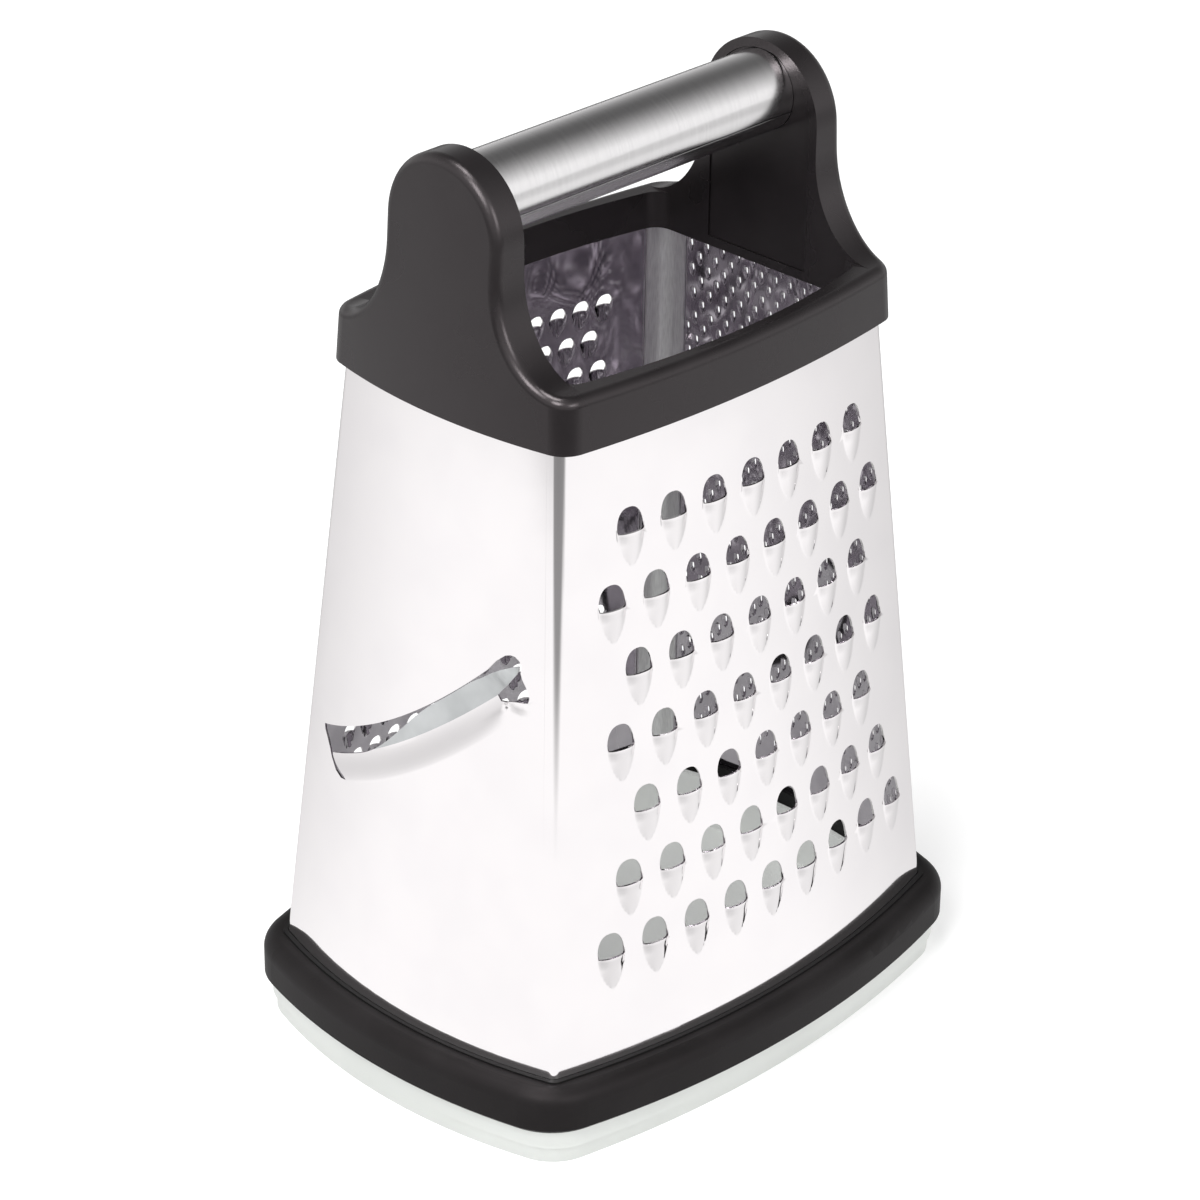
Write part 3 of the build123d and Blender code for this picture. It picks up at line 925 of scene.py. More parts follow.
class Panel:
    """A punched sheet panel, laid out flat and wrapped on its wall.

    The layout is a set of points of along and height, joined by triangles that keep the
    outlines of openings. Each point then goes to the wall's surface, plus its lift along
    the wall's normal, and the sheet's inside is one thickness behind it.
    """

    background = 6.0
    levels = 31
    bend_shares = np.array([0, 0.17, 0.33, 0.5, 0.67, 0.83, 1.0])
    beside_bend = 0.4
    jog = 0.01
    height_weight = 0.5
    merge = 1e-5
    border_slack = 1e-3

    def __init__(self, wall: Wall, rows: ToothRows | None = None) -> None:
        """Keeps the wall and the teeth on it."""
        self.wall = wall
        self.rows = rows
        self.spots = rows.places(wall) if rows else np.zeros((0, 2))

    def local(self, along: Array, z: Array) -> tuple[Array, Array]:
        """Points measured from the nearest tooth, where heights count for less.

        Args:
            along: Places along the wall.
            z: Heights.

        Returns:
            The distance beside the nearest tooth's middle line, and above its cutting edge.
        """
        dx = along[:, None] - self.spots[None, :, 0]
        dy = z[:, None] - self.spots[None, :, 1]
        apart = dx**2 + self.height_weight * (dy - self.rows.tooth.middle) ** 2
        near = np.argmin(apart, axis=1)
        at = np.arange(len(along))
        return dx[at, near], dy[at, near]

    def is_open(self, along: Array, z: Array) -> Array:
        """Whether points of the layout lie in an opening."""
        return self.rows.tooth.is_open(*self.local(along, z))

    def lift(self, along: Array, z: Array) -> Array:
        """The height above the plain wall."""
        return self.rows.tooth.lift(*self.local(along, z))

    def is_facet(self, along: Array, z: Array) -> Array:
        """Whether points lie on a ground facet, which punched teeth don't have."""
        return np.zeros(len(along), bool)

    def features(self) -> tuple[Array, Array]:
        """The points and the kept edges of everything punched in the panel.

        Returns:
            Rows of along and height, and edges as pairs of their numbers.
        """
        points, edge = self.rows.tooth.layout()
        starts = np.arange(len(self.spots))[:, None, None] * len(points)
        return (self.spots[:, None, :] + points).reshape(-1, 2), (starts + edge).reshape(-1, 2)

    def heights(self) -> Array:
        """The levels of the outline and of the background points."""
        return np.linspace(self.wall.body.foot, self.wall.body.head, self.levels)

    def border(self) -> tuple[Array, Array]:
        """The panel's outline.

        Returns:
            Its layout points in order, and the edges that close it.
        """
        heights = self.heights()
        near, far = self.wall.limits(heights)
        sides = np.concatenate([pair(far, heights), pair(near, heights)[::-1]])
        return sides, closed(len(sides))

    def filling(self) -> Array:
        """Background points: rows across the wall, and close columns round the bend.

        Returns:
            Rows of along and height, without those that crowd a tooth.
        """
        heights = self.heights()
        _, far = self.wall.limits(heights)
        start = self.wall.tangent(heights)
        shares = np.linspace(0, 1, int((far[0] - start[0]) / self.background) + 2)[1:-1]
        wall = start[:, None] + (far - start)[:, None] * shares
        bend = start[:, None] - self.bend_shares * self.wall.body.bend_run
        along = np.concatenate([wall, bend, start[:, None] + self.beside_bend], axis=1)
        z = np.repeat(heights[:, None], along.shape[1], axis=1)
        z[1:-1:2, : wall.shape[1]] += self.jog
        points = pair(along.ravel(), z.ravel())
        if self.rows is None:
            return points
        return points[~self.rows.tooth.crowds(*self.local(points[:, 0], points[:, 1]))]

    def surface(self, along: Array, z: Array) -> Array:
        """The panel's outside, in millimetres: the wall plus its normal times the lift."""
        out = facing(self.wall.point, along, z)
        return self.wall.point(along, z) + out * self.lift(along, z)[:, None]

    def triangles(self) -> tuple[Array, Array]:
        """The layout's points and the triangles that fill it, holes left open.

        Returns:
            Rows of along and height, and triples of their numbers.
        """
        border, border_edges = self.border()
        points, edges = self.features()
        flat = np.concatenate([border, points, self.filling()])
        kept = np.concatenate([border_edges, edges + len(border)])
        made = delaunay_2d_cdt(flat.tolist(), kept.tolist(), [], 0, self.merge, False)
        layout, faces = np.array([tuple(v) for v in made[0]]), np.array(made[2])
        along, z = layout[faces].mean(axis=1).T
        near, far = self.wall.limits(z)
        inside = (along > near - self.border_slack) & (along < far + self.border_slack)
        return layout, faces[inside & ~self.is_open(along, z)]

    def build(self, name: str) -> bpy.types.Object:
        """Wraps the layout on the wall and gives it its thickness.

        Args:
            name: The piece's name.

        Returns:
            The piece, whose material slots are the outside, the inside and the facet.
        """
        layout, faces = self.triangles()
        outer = self.surface(*layout.T)
        normal = facing(self.surface, *layout.T)
        piece = sheet_object(name, outer, outer - normal * self.wall.body.sheet, normal, faces)
        slots = np.zeros(len(piece.data.polygons), np.int32)
        slots[: len(faces)] = 2 * self.is_facet(*layout[faces].mean(axis=1).T)
        slots[len(faces) : 2 * len(faces)] = 1
        piece.data.polygons.foreach_set("material_index", slots)
        return piece


def in_scene(name: str, data: Any) -> bpy.types.Object:
    """Makes an object of a mesh, a lamp or a camera, and links it to the scene."""
    made = bpy.data.objects.new(name, data)
    bpy.context.scene.collection.objects.link(made)
    return made


def sheet_object(
    name: str, outer: Array, inner: Array, normal: Array, faces: Array
) -> bpy.types.Object:
    """Makes a closed sheet from its outside, its inside and the triangles that both share.

    Args:
        name: The piece's name.
        outer: Points of the outside, in millimetres.
        inner: The points behind them.
        normal: Outward normals.
        faces: Triangles, counter-clockwise from outside.

    Returns:
        The piece, with exact normals on both skins and flat ones on its rims.
    """
    used = np.unique(faces)
    order = np.full(len(outer), -1)
    order[used] = np.arange(len(used))
    outer, inner, normal, faces = outer[used], inner[used], normal[used], order[faces]
    count = len(outer)
    way = faces[:, [0, 1, 1, 2, 2, 0]].reshape(-1, 2)
    key = np.sort(way, axis=1)
    _, first, times = np.unique(key, axis=0, return_index=True, return_counts=True)
    rim = way[first[times == 1]]
    quads = np.stack([rim[:, 1], rim[:, 0], rim[:, 0] + count, rim[:, 1] + count], axis=-1)
    points = np.concatenate([outer, inner]) * MM
    back = faces[:, ::-1] + count
    p0, p1, p2 = (points[quads[:, i]] for i in range(3))
    side = np.cross(p1 - p0, p2 - p0)
    side = side / np.maximum(np.linalg.norm(side, axis=-1, keepdims=True), 1e-12)
    skins = [normal[faces].reshape(-1, 3), -normal[back - count].reshape(-1, 3)]
    loops = np.concatenate([*skins, np.repeat(side, 4, axis=0)])
    mesh = bpy.data.meshes.new(name)
    mesh.from_pydata(points.tolist(), [], faces.tolist() + back.tolist() + quads.tolist())
    mesh.polygons.foreach_set("use_smooth", np.ones(len(mesh.polygons), bool))
    mesh.update()
    mesh.normals_split_custom_set(loops.tolist())
    return in_scene(name, mesh)


def smooth(value: Array, low: float, high: float) -> Array:
    """A smooth step from 0 below low to 1 above high."""
    share = np.clip((value - low) / (high - low), 0, 1)
    return share * share * (3 - 2 * share)


def read_line(line: Line, value: Array) -> Array:
    """The second part of a broken line of pairs, where its first part is the value."""
    return np.interp(value, *zip(*line))


@dataclass(frozen=True)
class Slot:
    """The lanced slicing slot: a sagging top edge, and a tongue pushed out below it.

    Points are along and rise above the ring. Share runs from -1 at the top edge's left
    end to 1 at its right end, and drop is the distance square below that edge. Cuts are
    lines of rise and along, and a fade is the rise of a cut's end, with the softness that
    the cut's line gains for each millimetre below it, and the most millimetres counted.
    The line nose_middle is one of along and rise.
    """

    left: tuple[float, float] = (-35.4, 65.0)
    right: tuple[float, float] = (25.5, 106.0)
    sag: float = 5.4
    thin_gap: float = 0.4
    wide_gap: float = 5.9
    closing: tuple[float, float] = (-0.45, 0.45)
    nose_gap: float = 1.9
    widening: tuple[float, float] = (0.72, 1.08)
    facet: float = 5.8
    facet_bow: float = 0.9
    facet_foot_rise: float = 68.0
    facet_from: float = -0.5
    root: float = 14.2
    rise: float = 2.3
    swell_power: float = 1.6
    swell_round: float = 0.9
    over_swell: float = 0.12
    most_swell: float = 1.6
    end_drop: float = 0.12
    tip_drop: float = 0.85
    tip: tuple[float, float] = (0.90, 1.08)
    lip: float = 0.9
    lip_middle: float = 31.0
    lip_spread: float = 3.0
    lip_foot: float = 92.8
    lip_run: float = 3.4
    lip_power: float = 1.3
    lip_top: float = 97.3
    cut_soft: float = 0.04
    left_fade: Triple = (54.8, 1.1, 9.0)
    right_fade: Triple = (95.4, 0.9, 14.0)
    level: float = 22.0
    nose: Line = (
        (23.8, 105.0), (26.3, 107.2), (27.7, 107.7), (29.0, 107.7), (30.3, 106.9),
        (31.0, 105.9), (31.1, 104.9),
    )
    petal: Line = (
        (30.9, 103.9), (31.6, 102.3), (32.6, 100.9), (33.4, 99.5), (33.9, 98.2), (33.8, 97.1),
        (32.6, 96.9), (31.0, 96.8), (29.3, 96.3), (28.0, 95.7),
    )
    tongue_side: Line = (
        (27.2, 96.2), (26.4, 97.7), (27.5, 99.3), (28.7, 100.9), (30.1, 103.4), (30.6, 104.6),
        (30.5, 105.6), (28.8, 105.1), (26.6, 104.1), (24.4, 102.9),
    )
    tongue_slit: Line = ((-27.8, 60.2), (-27.3, 58.2), (-26.2, 56.4), (-24.9, 55.4))
    wall_slit: Line = (
        (-24.2, 54.6), (-26.4, 54.2), (-28.9, 55.2), (-31.0, 57.6), (-32.3, 59.9),
        (-33.5, 61.7), (-35.0, 63.6),
    )
    left_cut: Line = (
        (54.3, -24.5), (55.0, -26.8), (56.4, -28.0), (58.2, -29.2), (60.2, -30.0), (65.0, -32.5),
    )
    right_cut: Line = (
        (95.0, 27.4), (95.7, 27.6), (96.4, 27.9), (97.5, 28.5), (101.0, 30.2), (103.6, 30.55),
        (104.8, 30.85), (106.5, 30.9),
    )
    nose_middle: Line = (
        (22.0, 102.0), (24.0, 103.6), (26.5, 105.3), (28.8, 106.2), (30.6, 106.35), (31.2, 106.4),
    )

    @property
    def run(self) -> float:
        """The length along the wall between the top edge's ends."""
        return self.right[0] - self.left[0]

    def slope(self, share: Array) -> Array:
        """The top edge's slope, with the sag's own part growing with the share."""
        return (self.right[1] - self.left[1] + 4 * self.sag * share) / self.run

    def top(self, share: Array) -> Array:
        """A point of the top edge: the chord between its ends, less sag * (1 - share**2).

        Args:
            share: Its share, from -1 to 1.

        Returns:
            Rows of along and height.
        """
        middle = (1 - share) / 2
        along = self.left[0] * middle + self.right[0] * (1 - middle)
        rise = self.left[1] * middle + self.right[1] * (1 - middle)
        return pair(along, self.level + rise - self.sag * (1 - share**2))

    def below(self, share: Array, drop: Array) -> Array:
        """A point square below the top edge.

        Args:
            share: The share of the edge's point above it.
            drop: Its distance from that point.

        Returns:
            Rows of along and height.
        """
        slope = self.slope(share)
        size = np.hypot(1, slope)
        return self.top(share) + pair(slope / size, -1 / size) * drop[..., None]

    def gap(self, share: Array) -> Array:
        """The slot's width: wide at the left, closed past the middle, open at the nose."""
        closing = self.wide_gap * (1 - smooth(share, *self.closing))
        return self.thin_gap + closing + self.nose_gap * smooth(share, *self.widening)

    def facet_foot(self, share: Array) -> Array:
        """The drop at which the ground facet ends."""
        return self.facet + self.facet_bow * share**2

    def raised(self, points: Line) -> Array:
        """Points of the outline at their real height."""
        return np.array(points) + [0.0, self.level]

    def softness(self, rise: Array, fade: Triple) -> Array:
        """How soft the line of a cut is: crisp above the cut's end, and softer below it."""
        return self.cut_soft + fade[1] * np.clip(fade[0] - rise, 0, fade[2])


class SlicingPanel(Panel):
    """The slicing wall: one long slot, and a tongue that swells out of the sheet below it.

    Its own points are rows of shares of the slot, and drops below the slot's top edge.
    """

    slot = Slot()
    top_shares = np.linspace(-1, 0.87, 42)
    blade_shares = np.linspace(0.86, -0.82, 42)
    foot_shares = np.linspace(-0.33, 0.86, 34)
    facet_shares = np.linspace(-0.05, 0.88, 26)
    above_shares = np.linspace(-1.0, 0.86, 34)
    above_drop = -0.6
    grid_shares = np.linspace(-0.76, 0.9, 38)
    grid_depths = np.array([0.14, 0.3, 0.45, 0.6, 0.75, 0.88, 1.0, 1.1])
    below_gap = 0.3
    lip_alongs = np.array([28.0, 29.5, 31.0, 32.5, 34.0, 35.2])
    lip_rises = np.array([92.8, 93.8, 94.9])
    bare_share = 1.15
    bare_drops = (-1.6, 2.2)
    nose_from = 22.0
    steps = 12
    first_limit = 1.3
    share_limit = 1.6

    def outline(self) -> Array:
        """The slot's outline: its top edge, nose, side opening, blade and left slit."""
        s = self.slot
        top, blade = s.top(self.top_shares), s.below(self.blade_shares, s.gap(self.blade_shares))
        tip = [s.raised(line) for line in (s.nose, s.petal, s.tongue_side)]
        return np.concatenate([top, *tip, blade, s.raised(s.tongue_slit), s.raised(s.wall_slit)])

    def shares(self, along: Array, z: Array) -> tuple[Array, Array]:
        """The slot's share and drop at layout points, by repeated steps to the square foot.

        Args:
            along: Places along the wall.
            z: Heights.

        Returns:
            The share of the top edge's point that is square above, and the drop below it.
        """
        s = self.slot
        share = (2 * along - s.left[0] - s.right[0]) / s.run
        share = np.clip(share, -self.first_limit, self.first_limit)
        drop = np.zeros_like(share)
        for _ in range(self.steps):
            slope = s.slope(share)
            size = np.hypot(1, slope)
            past, up = (pair(along, z) - s.top(share)).T
            drop = (past * slope - up) / size
            slide = (past + up * slope) / size
            share = np.clip(share + slide / size * 2 / s.run, -self.share_limit, self.share_limit)
        return share, drop

    def is_open(self, along: Array, z: Array) -> Array:
        """Whether points lie in the slot.

        Args:
            along: Places along the wall.
            z: Heights.

        Returns:
            True where a line from the point crosses the outline an odd number of times.
        """
        x0, y0 = self.outline().T
        x1, y1 = np.roll(x0, -1), np.roll(y0, -1)
        px, py = along[:, None], z[:, None]
        spans = (y0 > py) != (y1 > py)
        cross = x0 + (py - y0) / np.where(y1 == y0, 1e-9, y1 - y0) * (x1 - x0)
        return (np.sum(spans & (px < cross), axis=1) % 2).astype(bool)

    def between_cuts(self, along: Array, z: Array) -> Array:
        """How much of the tongue's lift a point has.

        Args:
            along: Places along the wall.
            z: Heights.

        Returns:
            One on the tongue, nothing beyond its slits, and a soft change below their ends.
        """
        s = self.slot
        rise = z - s.level
        left, soft_left = along - read_line(s.left_cut, rise), s.softness(rise, s.left_fade)
        right, soft_right = read_line(s.right_cut, rise) - along, s.softness(rise, s.right_fade)
        return smooth(left, -soft_left, soft_left) * smooth(right, -soft_right, soft_right)

    def below_edge(self, along: Array, z: Array, share: Array, drop: Array) -> Array:
        """Whether points lie below the middle of the slot, on the blade's side of it.

        Args:
            along: Places along the wall.
            z: Heights.
            share: The slot's share there.
            drop: The drop below the slot's top edge there.

        Returns:
            True by the slot's gap, or near the nose by the nose's own middle line.
        """
        s = self.slot
        under_nose = z - s.level < read_line(s.nose_middle, along)
        return np.where(along < self.nose_from, drop > s.gap(share) * 0.5, under_nose)

    def lift(self, along: Array, z: Array) -> Array:
        """The tongue's height: none at its root, full at the facet, and little at its tip.

        With u from 0 at the root to 1 at the facet, it is rise * u**p * (1 + r * (1 - u)),
        where p is swell_power and r is swell_round, and it grows slowly above the facet's
        foot. A small lip stands up below the opening beside the tip.

        Args:
            along: Places along the wall.
            z: Heights.

        Returns:
            Heights above the plain wall.
        """
        s = self.slot
        share, drop = self.shares(along, z)
        up = np.clip((s.root - drop) / (s.root - s.facet), 0, s.most_swell)
        growing = up**s.swell_power * (1 + s.swell_round * (1 - up))
        swell = np.where(up < 1, growing, 1 + s.over_swell * (up - 1))
        ends = 1 - s.end_drop * np.clip(share, -1, 1) ** 2
        ends = ends * (1 - s.tip_drop * smooth(share, *s.tip))
        cut = self.between_cuts(along, z)
        on = self.below_edge(along, z, share, drop)
        tongue = np.where(on, s.rise * swell * ends * cut, 0.0)
        rise = z - s.level
        reach = np.exp(-(((along - s.lip_middle) / s.lip_spread) ** 2))
        reach = reach * np.clip((rise - s.lip_foot) / s.lip_run, 0, 1) ** s.lip_power
        return tongue + np.where(rise < s.lip_top, s.lip * reach * (1 - cut), 0.0)

    def is_facet(self, along: Array, z: Array) -> Array:
        """Whether points lie on the ground facet along the blade's edge.

        Args:
            along: Places along the wall.
            z: Heights.

        Returns:
            True on the tongue, between the slot and the facet's foot.
        """
        s = self.slot
        share, drop = self.shares(along, z)
        inside = (drop < s.facet_foot(share)) & (share > s.facet_from)
        inside = inside & (z > s.level + s.facet_foot_rise) & (self.between_cuts(along, z) > 0.5)
        return inside & self.below_edge(along, z, share, drop)

    def features(self) -> tuple[Array, Array]:
        """The slot's outline, the facet's foot, the tongue's own grid and the lip's points.

        Returns:
            Rows of along and height, and the outline's and the foot's edges.
        """
        s = self.slot
        ring = self.outline()
        foot = s.below(self.foot_shares, s.facet_foot(self.foot_shares))
        first = len(ring) + np.arange(len(foot) - 1)
        start = np.maximum(s.facet_foot(self.grid_shares), s.gap(self.grid_shares) + self.below_gap)
        drops = start + (s.root - start) * self.grid_depths[:, None]
        grid = s.below(np.tile(self.grid_shares, len(self.grid_depths)), drops.ravel())
        middle = (s.gap(self.facet_shares) + s.facet_foot(self.facet_shares)) / 2
        facet = s.below(self.facet_shares, middle)
        above = s.below(self.above_shares, np.full_like(self.above_shares, self.above_drop))
        lip = np.stack(np.meshgrid(self.lip_alongs, self.lip_rises), axis=-1).reshape(-1, 2)
        points = np.concatenate([ring, foot, grid, facet, above, s.raised(lip)])
        return points, np.concatenate([closed(len(ring)), pair(first, first + 1)])

    def filling(self) -> Array:
        """Background points, left out round the slot."""
        points = super().filling()
        share, drop = self.shares(*points.T)
        above, below = self.bare_drops
        near = (np.abs(share) < self.bare_share) & (drop > above) & (drop < self.slot.root + below)
        return points[~near]


# The grater's sub-assemblies


@dataclass(frozen=True)
class SteelWalls:
    """The four panels and the strips that join them."""

    sheet: MirrorSheet = MirrorSheet()
    # The inside's darker colour is painted shade
    inside: ShadedInnerSheet = ShadedInnerSheet()
    ground: GroundEdge = GroundEdge()
    strip: SeamSteel = SeamSteel()
    coarse: ToothRows = ToothRows(
        Tooth(half_width=3.9, opening=6.0, length=9.4, rise=1.6),
        pitch=13.2, row_pitch=18.0, first_row=28.6, rows=7, margin=13.5, shift=1.8,
    )
    medium: ToothRows = ToothRows(
        Tooth(
            half_width=2.7, opening=3.7, length=4.8, rise=1.35,
            rim_points=11, rows=(0.0, 0.22, 0.5, 0.78, 1.0), columns=7,
        ),
        pitch=7.6, row_pitch=9.6, first_row=28.6, rows=13, margin=17.5,
    )
    fine: ToothRows = ToothRows(
        Pierce(), pitch=4.8, row_pitch=3.5, first_row=12.0, rows=43, margin=7.0
    )

    def build(self) -> None:
        """Makes the panels in place of their solids, and finishes the strips."""
        steel = self.sheet.paint("polished_sheet")
        # Inner skins take the darker copy of the steel: painted shade
        inside = self.inside.paint("polished_sheet_inside_painted_shade")
        ground = self.ground.paint("ground_facet")
        panels = (
            ("coarse_panel", Panel(Wall(Side.COARSE), self.coarse)),
            ("medium_panel", Panel(Wall(Side.MEDIUM), self.medium)),
            ("fine_panel", Panel(Wall(Side.FINE), self.fine)),
            ("slicing_panel", SlicingPanel(Wall(Side.SLICING))),
        )
        for node, panel in panels:
            piece = panel.build(node.replace("_panel", "_wall"))
            for material in (steel, inside, ground):
                piece.data.materials.append(material)
            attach(piece, "grater")
            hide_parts(node)
            log.info("%s: %d faces", piece.name, len(piece.data.polygons))
        strip = self.strip.paint("strip_steel")
        for corner in ("front", "left", "back", "right"):
            finish_node(f"{corner}_seam_strip", strip)


def finish_node(node: str, material: bpy.types.Material) -> None:
    """Gives a CAD node its finish.

    Args:
        node: The node's name.
        material: The finish.
    """
    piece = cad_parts[node]
    piece.data.materials.clear()
    piece.data.materials.append(material)
    log.info("%s: finished", node)


@dataclass(frozen=True)
class TopFrame:
    """The black top moulding with its posts and cover plates."""

    plastic: Moulding = Moulding(
        (0.010, 0.0085, 0.009), (0.013, 0.0115, 0.012), gloss=Step(0.3, 0.75, 0.24, 0.32)
    )
    cover: Moulding = Moulding(
        (0.008, 0.007, 0.0073), (0.011, 0.0096, 0.010), gloss=Step(0.3, 0.75, 0.27, 0.35)
    )

    def build(self) -> None:
        """Finishes the frame and its covers."""
        finish_node("top_frame", self.plastic.paint("frame_black"))
        cover = self.cover.paint("cover_black")
        for side in ("left", "right"):
            finish_node(f"{side}_handle_cover", cover)


@dataclass(frozen=True)
class Handle:
    """The brushed tube with its plugs and screws."""

    tube: BrushedTube = BrushedTube()
    nylon: Moulding = Moulding((0.75, 0.74, 0.70), (0.70, 0.69, 0.66))
    screw: SeamSteel = SeamSteel(high=(0.6, 0.6, 0.62))

    def build(self) -> None:
        """Finishes the tube and what holds it."""
        finish_node("handle_tube", self.tube.paint("tube_steel"))
        nylon = self.nylon.paint("plug_nylon")
        for side in ("left", "right"):
            finish_node(f"{side}_tube_plug", nylon)
        finish_node("handle_screws", self.screw.paint("screw_steel"))


@dataclass(frozen=True)
class Base:
    """The carrier, the soft ring and the catch tray."""

    carrier: Lipped = Lipped()
    ring: Moulding = Moulding(
        (0.007, 0.0064, 0.0065), (0.011, 0.0102, 0.0104),
        relief=((Noise(1400.0, 3.0, 0.6), 0.00003),), specular=0.2,
    )
    tray: Frosted = Frosted()

    def build(self) -> None:
        """Finishes the base's pieces."""
        finish_node("base_carrier", self.carrier.paint("carrier_grey"))
        finish_node("base_ring", self.ring.paint("ring_rubber"))
        finish_node("catch_tray", self.tray.paint("tray_frosted"))


# The studio


def aim(piece: bpy.types.Object, right: Array, up: Array, back: Array, spot: Any) -> None:
    """Places a camera or lamp.

    Args:
        piece: The camera or lamp.
        right: The direction of its own X.
        up: The direction of its own Y.
        back: The direction of its own Z, away from what it faces.
        spot: Its place, in metres.
    """
    matrix = np.eye(4)
    matrix[:3] = np.stack([right, up, back, np.array(spot)], axis=-1)
    piece.matrix_world = Matrix(matrix.tolist())


@dataclass(frozen=True)
class Lamp:
    """A square soft lamp: its name, its place and side in metres, and its watts."""

    name: str
    spot: Triple
    side: float
    power: float

    def hang(self, target: Triple) -> None:
        """Adds the lamp, facing a point.

        Args:
            target: What it faces, in metres.
        """
        data = bpy.data.lights.new(self.name, "AREA")
        data.size = self.side
        data.energy = self.power
        away = unit(np.array(self.spot) - np.array(target))
        right = unit(np.cross([0, 0, 1], away))
        aim(in_scene(self.name, data), right, np.cross(away, right), away, self.spot)


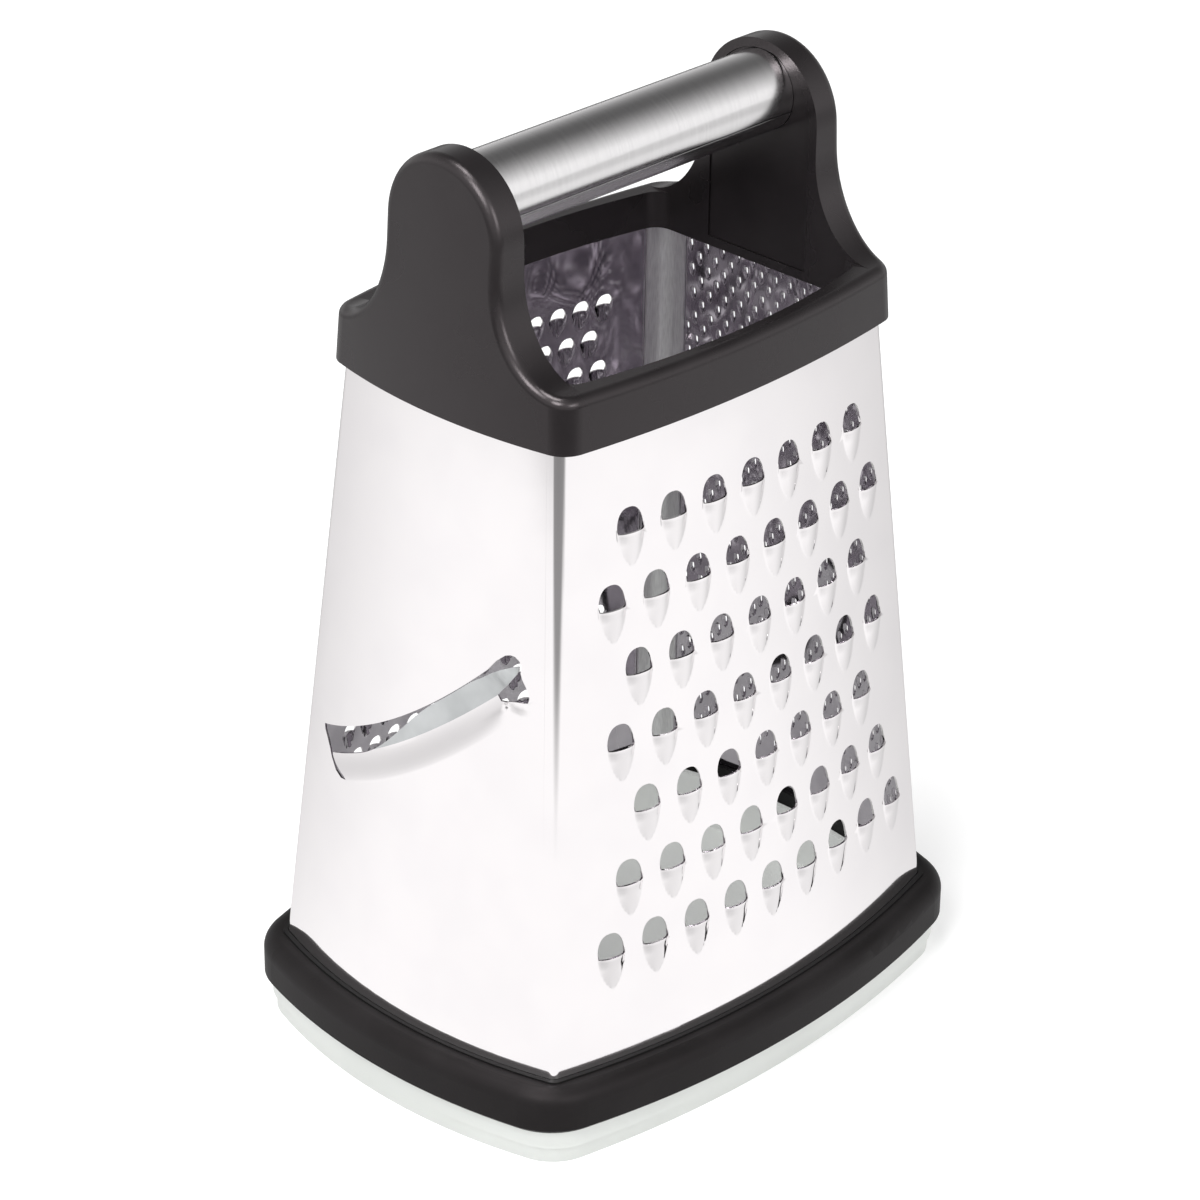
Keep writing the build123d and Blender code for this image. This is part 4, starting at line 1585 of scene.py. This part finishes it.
@dataclass(frozen=True)
class Studio:
    """Camera, floor, soft lamps and a white surround.

    Angles are in degrees and the camera's distances in millimetres. Surround and floor are
    white to the camera. Mirrors see tones of them: cap_tone by nearness to the direction cap,
    and on the floor painted shade, a product of tones by distance, by nearness to the
    direction behind the grater, by distance before it, and by how squarely a mirror's ray
    meets it.
    """

    azimuth: float = -46.198
    elevation: float = 28.069
    roll: float = 0.773
    distance: float = 1090.209
    focal: float = 125.601
    sensor: float = 36.0
    clip: tuple[float, float] = (0.05, 20.0)
    aside: float = -1.882
    above: float = 77.928
    lift: float = 22.0
    white: Colour = (1.0, 1.0, 1.0)
    black: Colour = (0.0, 0.0, 0.0)
    surround: float = 0.45
    cap: Triple = (0.41, 0.287, 0.866)
    cap_tone: Step = Step(0.3, 0.95, 1.05, 0.10, Curve.STRAIGHT)
    floor_half: float = 4.0
    floor_pale: Colour = (0.80, 0.80, 0.80)
    floor_paler: Colour = (0.82, 0.82, 0.82)
    mottle: Noise = Noise(3.0)
    glow: Step = Step(450.0, 1600.0, 0.36, 0.86)
    mirrored_glow: float = 1.04
    back: tuple[float, float] = (0.722, 0.692)
    # Tones of painted shade on the floor, seen only in mirrors
    behind_tone: Step = Step(-0.35, 0.9, 1.0, 0.6)
    straight_behind_tone: Step = Step(0.7, 0.97, 1.0, 0.12)
    far_tone: Step = Step(520.0, 950.0, 1.0, 0.75)
    squarely_tone: Step = Step(0.15, 0.56, 0.6, 1.0)
    before_tone: Step = Step(300.0, 520.0, 1.0, 0.3)
    even_blend: float = 0.5
    middle: Triple = (0.0, 0.0, 0.12)
    lamps: tuple[Lamp, ...] = (
        Lamp("key", (-1.1, -0.4, 1.2), 0.6, 14.0),
        Lamp("fill", (-0.3, -1.5, 0.9), 0.7, 8.0),
        Lamp("top", (-0.35, 0.12, 1.5), 0.5, 10.0),
    )

    def camera(self) -> None:
        """Places the camera at the photograph's viewing angle."""
        a, e, r = np.radians([self.azimuth, self.elevation, self.roll])
        back = np.array([np.sin(a) * np.cos(e), -np.cos(a) * np.cos(e), np.sin(e)])
        right = unit(np.cross(-back, [0, 0, 1]))
        up = np.cross(right, -back)
        turned = np.cos(r) * right + np.sin(r) * up
        upward = -np.sin(r) * right + np.cos(r) * up
        spot = back * self.distance + turned * self.aside + upward * self.above
        data = bpy.data.cameras.new("camera")
        data.sensor_width = self.sensor
        data.lens = self.focal
        data.clip_start, data.clip_end = self.clip
        eye = in_scene("camera", data)
        aim(eye, turned, upward, back, (spot + [0, 0, self.lift]) * MM)
        bpy.context.scene.camera = eye

    def rays(self, p: Paint) -> tuple[Signal, Signal]:
        """How the surround or the floor is met by light.

        Args:
            p: The node tree that asks.

        Returns:
            One where it is seen, directly or through glass, and one where it is mirrored.
        """
        rays = p.node("ShaderNodeLightPath", {}, {}).outputs
        camera, through = Signal(p, rays["Is Camera Ray"]), Signal(p, rays["Is Transmission Ray"])
        return camera.greater(through), Signal(p, rays["Is Glossy Ray"])

    def world(self) -> None:
        """A white surround, which is darker to mirrors round one soft cap above the far side."""
        world = bpy.data.worlds.new("surround")
        bpy.context.scene.world = world
        p = Paint(world, "ShaderNodeOutputWorld")
        seen, glossy = self.rays(p)
        toward = p.node("ShaderNodeTexCoord", {}, {}).outputs["Generated"]
        nearness = p.signal(
            "ShaderNodeVectorMath", {"operation": "DOT_PRODUCT"}, {0: toward, 1: self.cap}, "Value"
        )
        rest = (1 - seen - glossy).greater(0.0)
        strength = seen + glossy * nearness.ramp(self.cap_tone) + rest * self.surround
        p.close(p.node("ShaderNodeBackground", {}, {"Color": self.white, "Strength": strength}))

    def floor_tone(self, p: Paint, x: Signal, y: Signal, away: Signal) -> Signal:
        """The floor's tone in mirrors: painted shade that the steel shows as its reflection.

        Args:
            p: The floor's node tree.
            x: Place across the floor, in millimetres.
            y: Place along the floor.
            away: Distance from the grater.

        Returns:
            The product of the floor's tones.
        """
        toward = x * self.back[0] + y * self.back[1]
        behind = toward / away
        tone = behind.ramp(self.behind_tone) * away.ramp(self.far_tone)
        tone = tone * behind.ramp(self.straight_behind_tone)
        squarely = p.signal("ShaderNodeLayerWeight", {}, {"Blend": self.even_blend}, "Facing")
        return tone * squarely.ramp(self.squarely_tone) * (toward * -1.0).ramp(self.before_tone)

    def floor(self) -> None:
        """A pale floor that keeps the grater's shadow, and shows painted shade in mirrors."""
        mesh = bpy.data.meshes.new("floor")
        corners = [(-1, -1, 0), (1, -1, 0), (1, 1, 0), (-1, 1, 0)]
        mesh.from_pydata((np.array(corners) * self.floor_half).tolist(), [], [(0, 1, 2, 3)])
        floor = in_scene("floor", mesh)
        p = Paint.named("pale_floor")
        seen, glossy = self.rays(p)
        x, y, _ = p.axes()
        away = (x * x + y * y).power(0.5)
        grey = p.tint(p.noise(self.mottle), self.floor_pale, self.floor_paler)
        matt = p.node("ShaderNodeBsdfDiffuse", {}, {"Color": grey}).outputs[0]
        glare = {"Color": self.white, "Strength": seen * away.ramp(self.glow)}
        glow = p.node("ShaderNodeEmission", {}, glare).outputs[0]
        both = p.node("ShaderNodeAddShader", {}, {0: matt, 1: glow}).outputs[0]
        # In mirrors the floor glows with painted shade in place of its lit colour
        tone = p.tint(self.floor_tone(p, x, y, away), self.black, self.white)
        mirror = {"Color": tone, "Strength": self.mirrored_glow}
        mirrored = p.node("ShaderNodeEmission", {}, mirror).outputs[0]
        p.close(p.node("ShaderNodeMixShader", {}, {0: glossy, 1: both, 2: mirrored}))
        floor.data.materials.append(p.owner)

    def build(self) -> None:
        """Sets the whole studio."""
        self.camera()
        self.world()
        self.floor()
        for lamp in self.lamps:
            lamp.hang(self.middle)
        bpy.context.scene.view_settings.view_transform = "Standard"


def main() -> None:
    """Builds the studio and the grater."""
    logging.basicConfig(level=logging.INFO, format="%(message)s")
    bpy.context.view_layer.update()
    Studio().build()
    for assembly in (SteelWalls(), TopFrame(), Handle(), Base()):
        assembly.build()


if __name__ == "__main__":
    main()
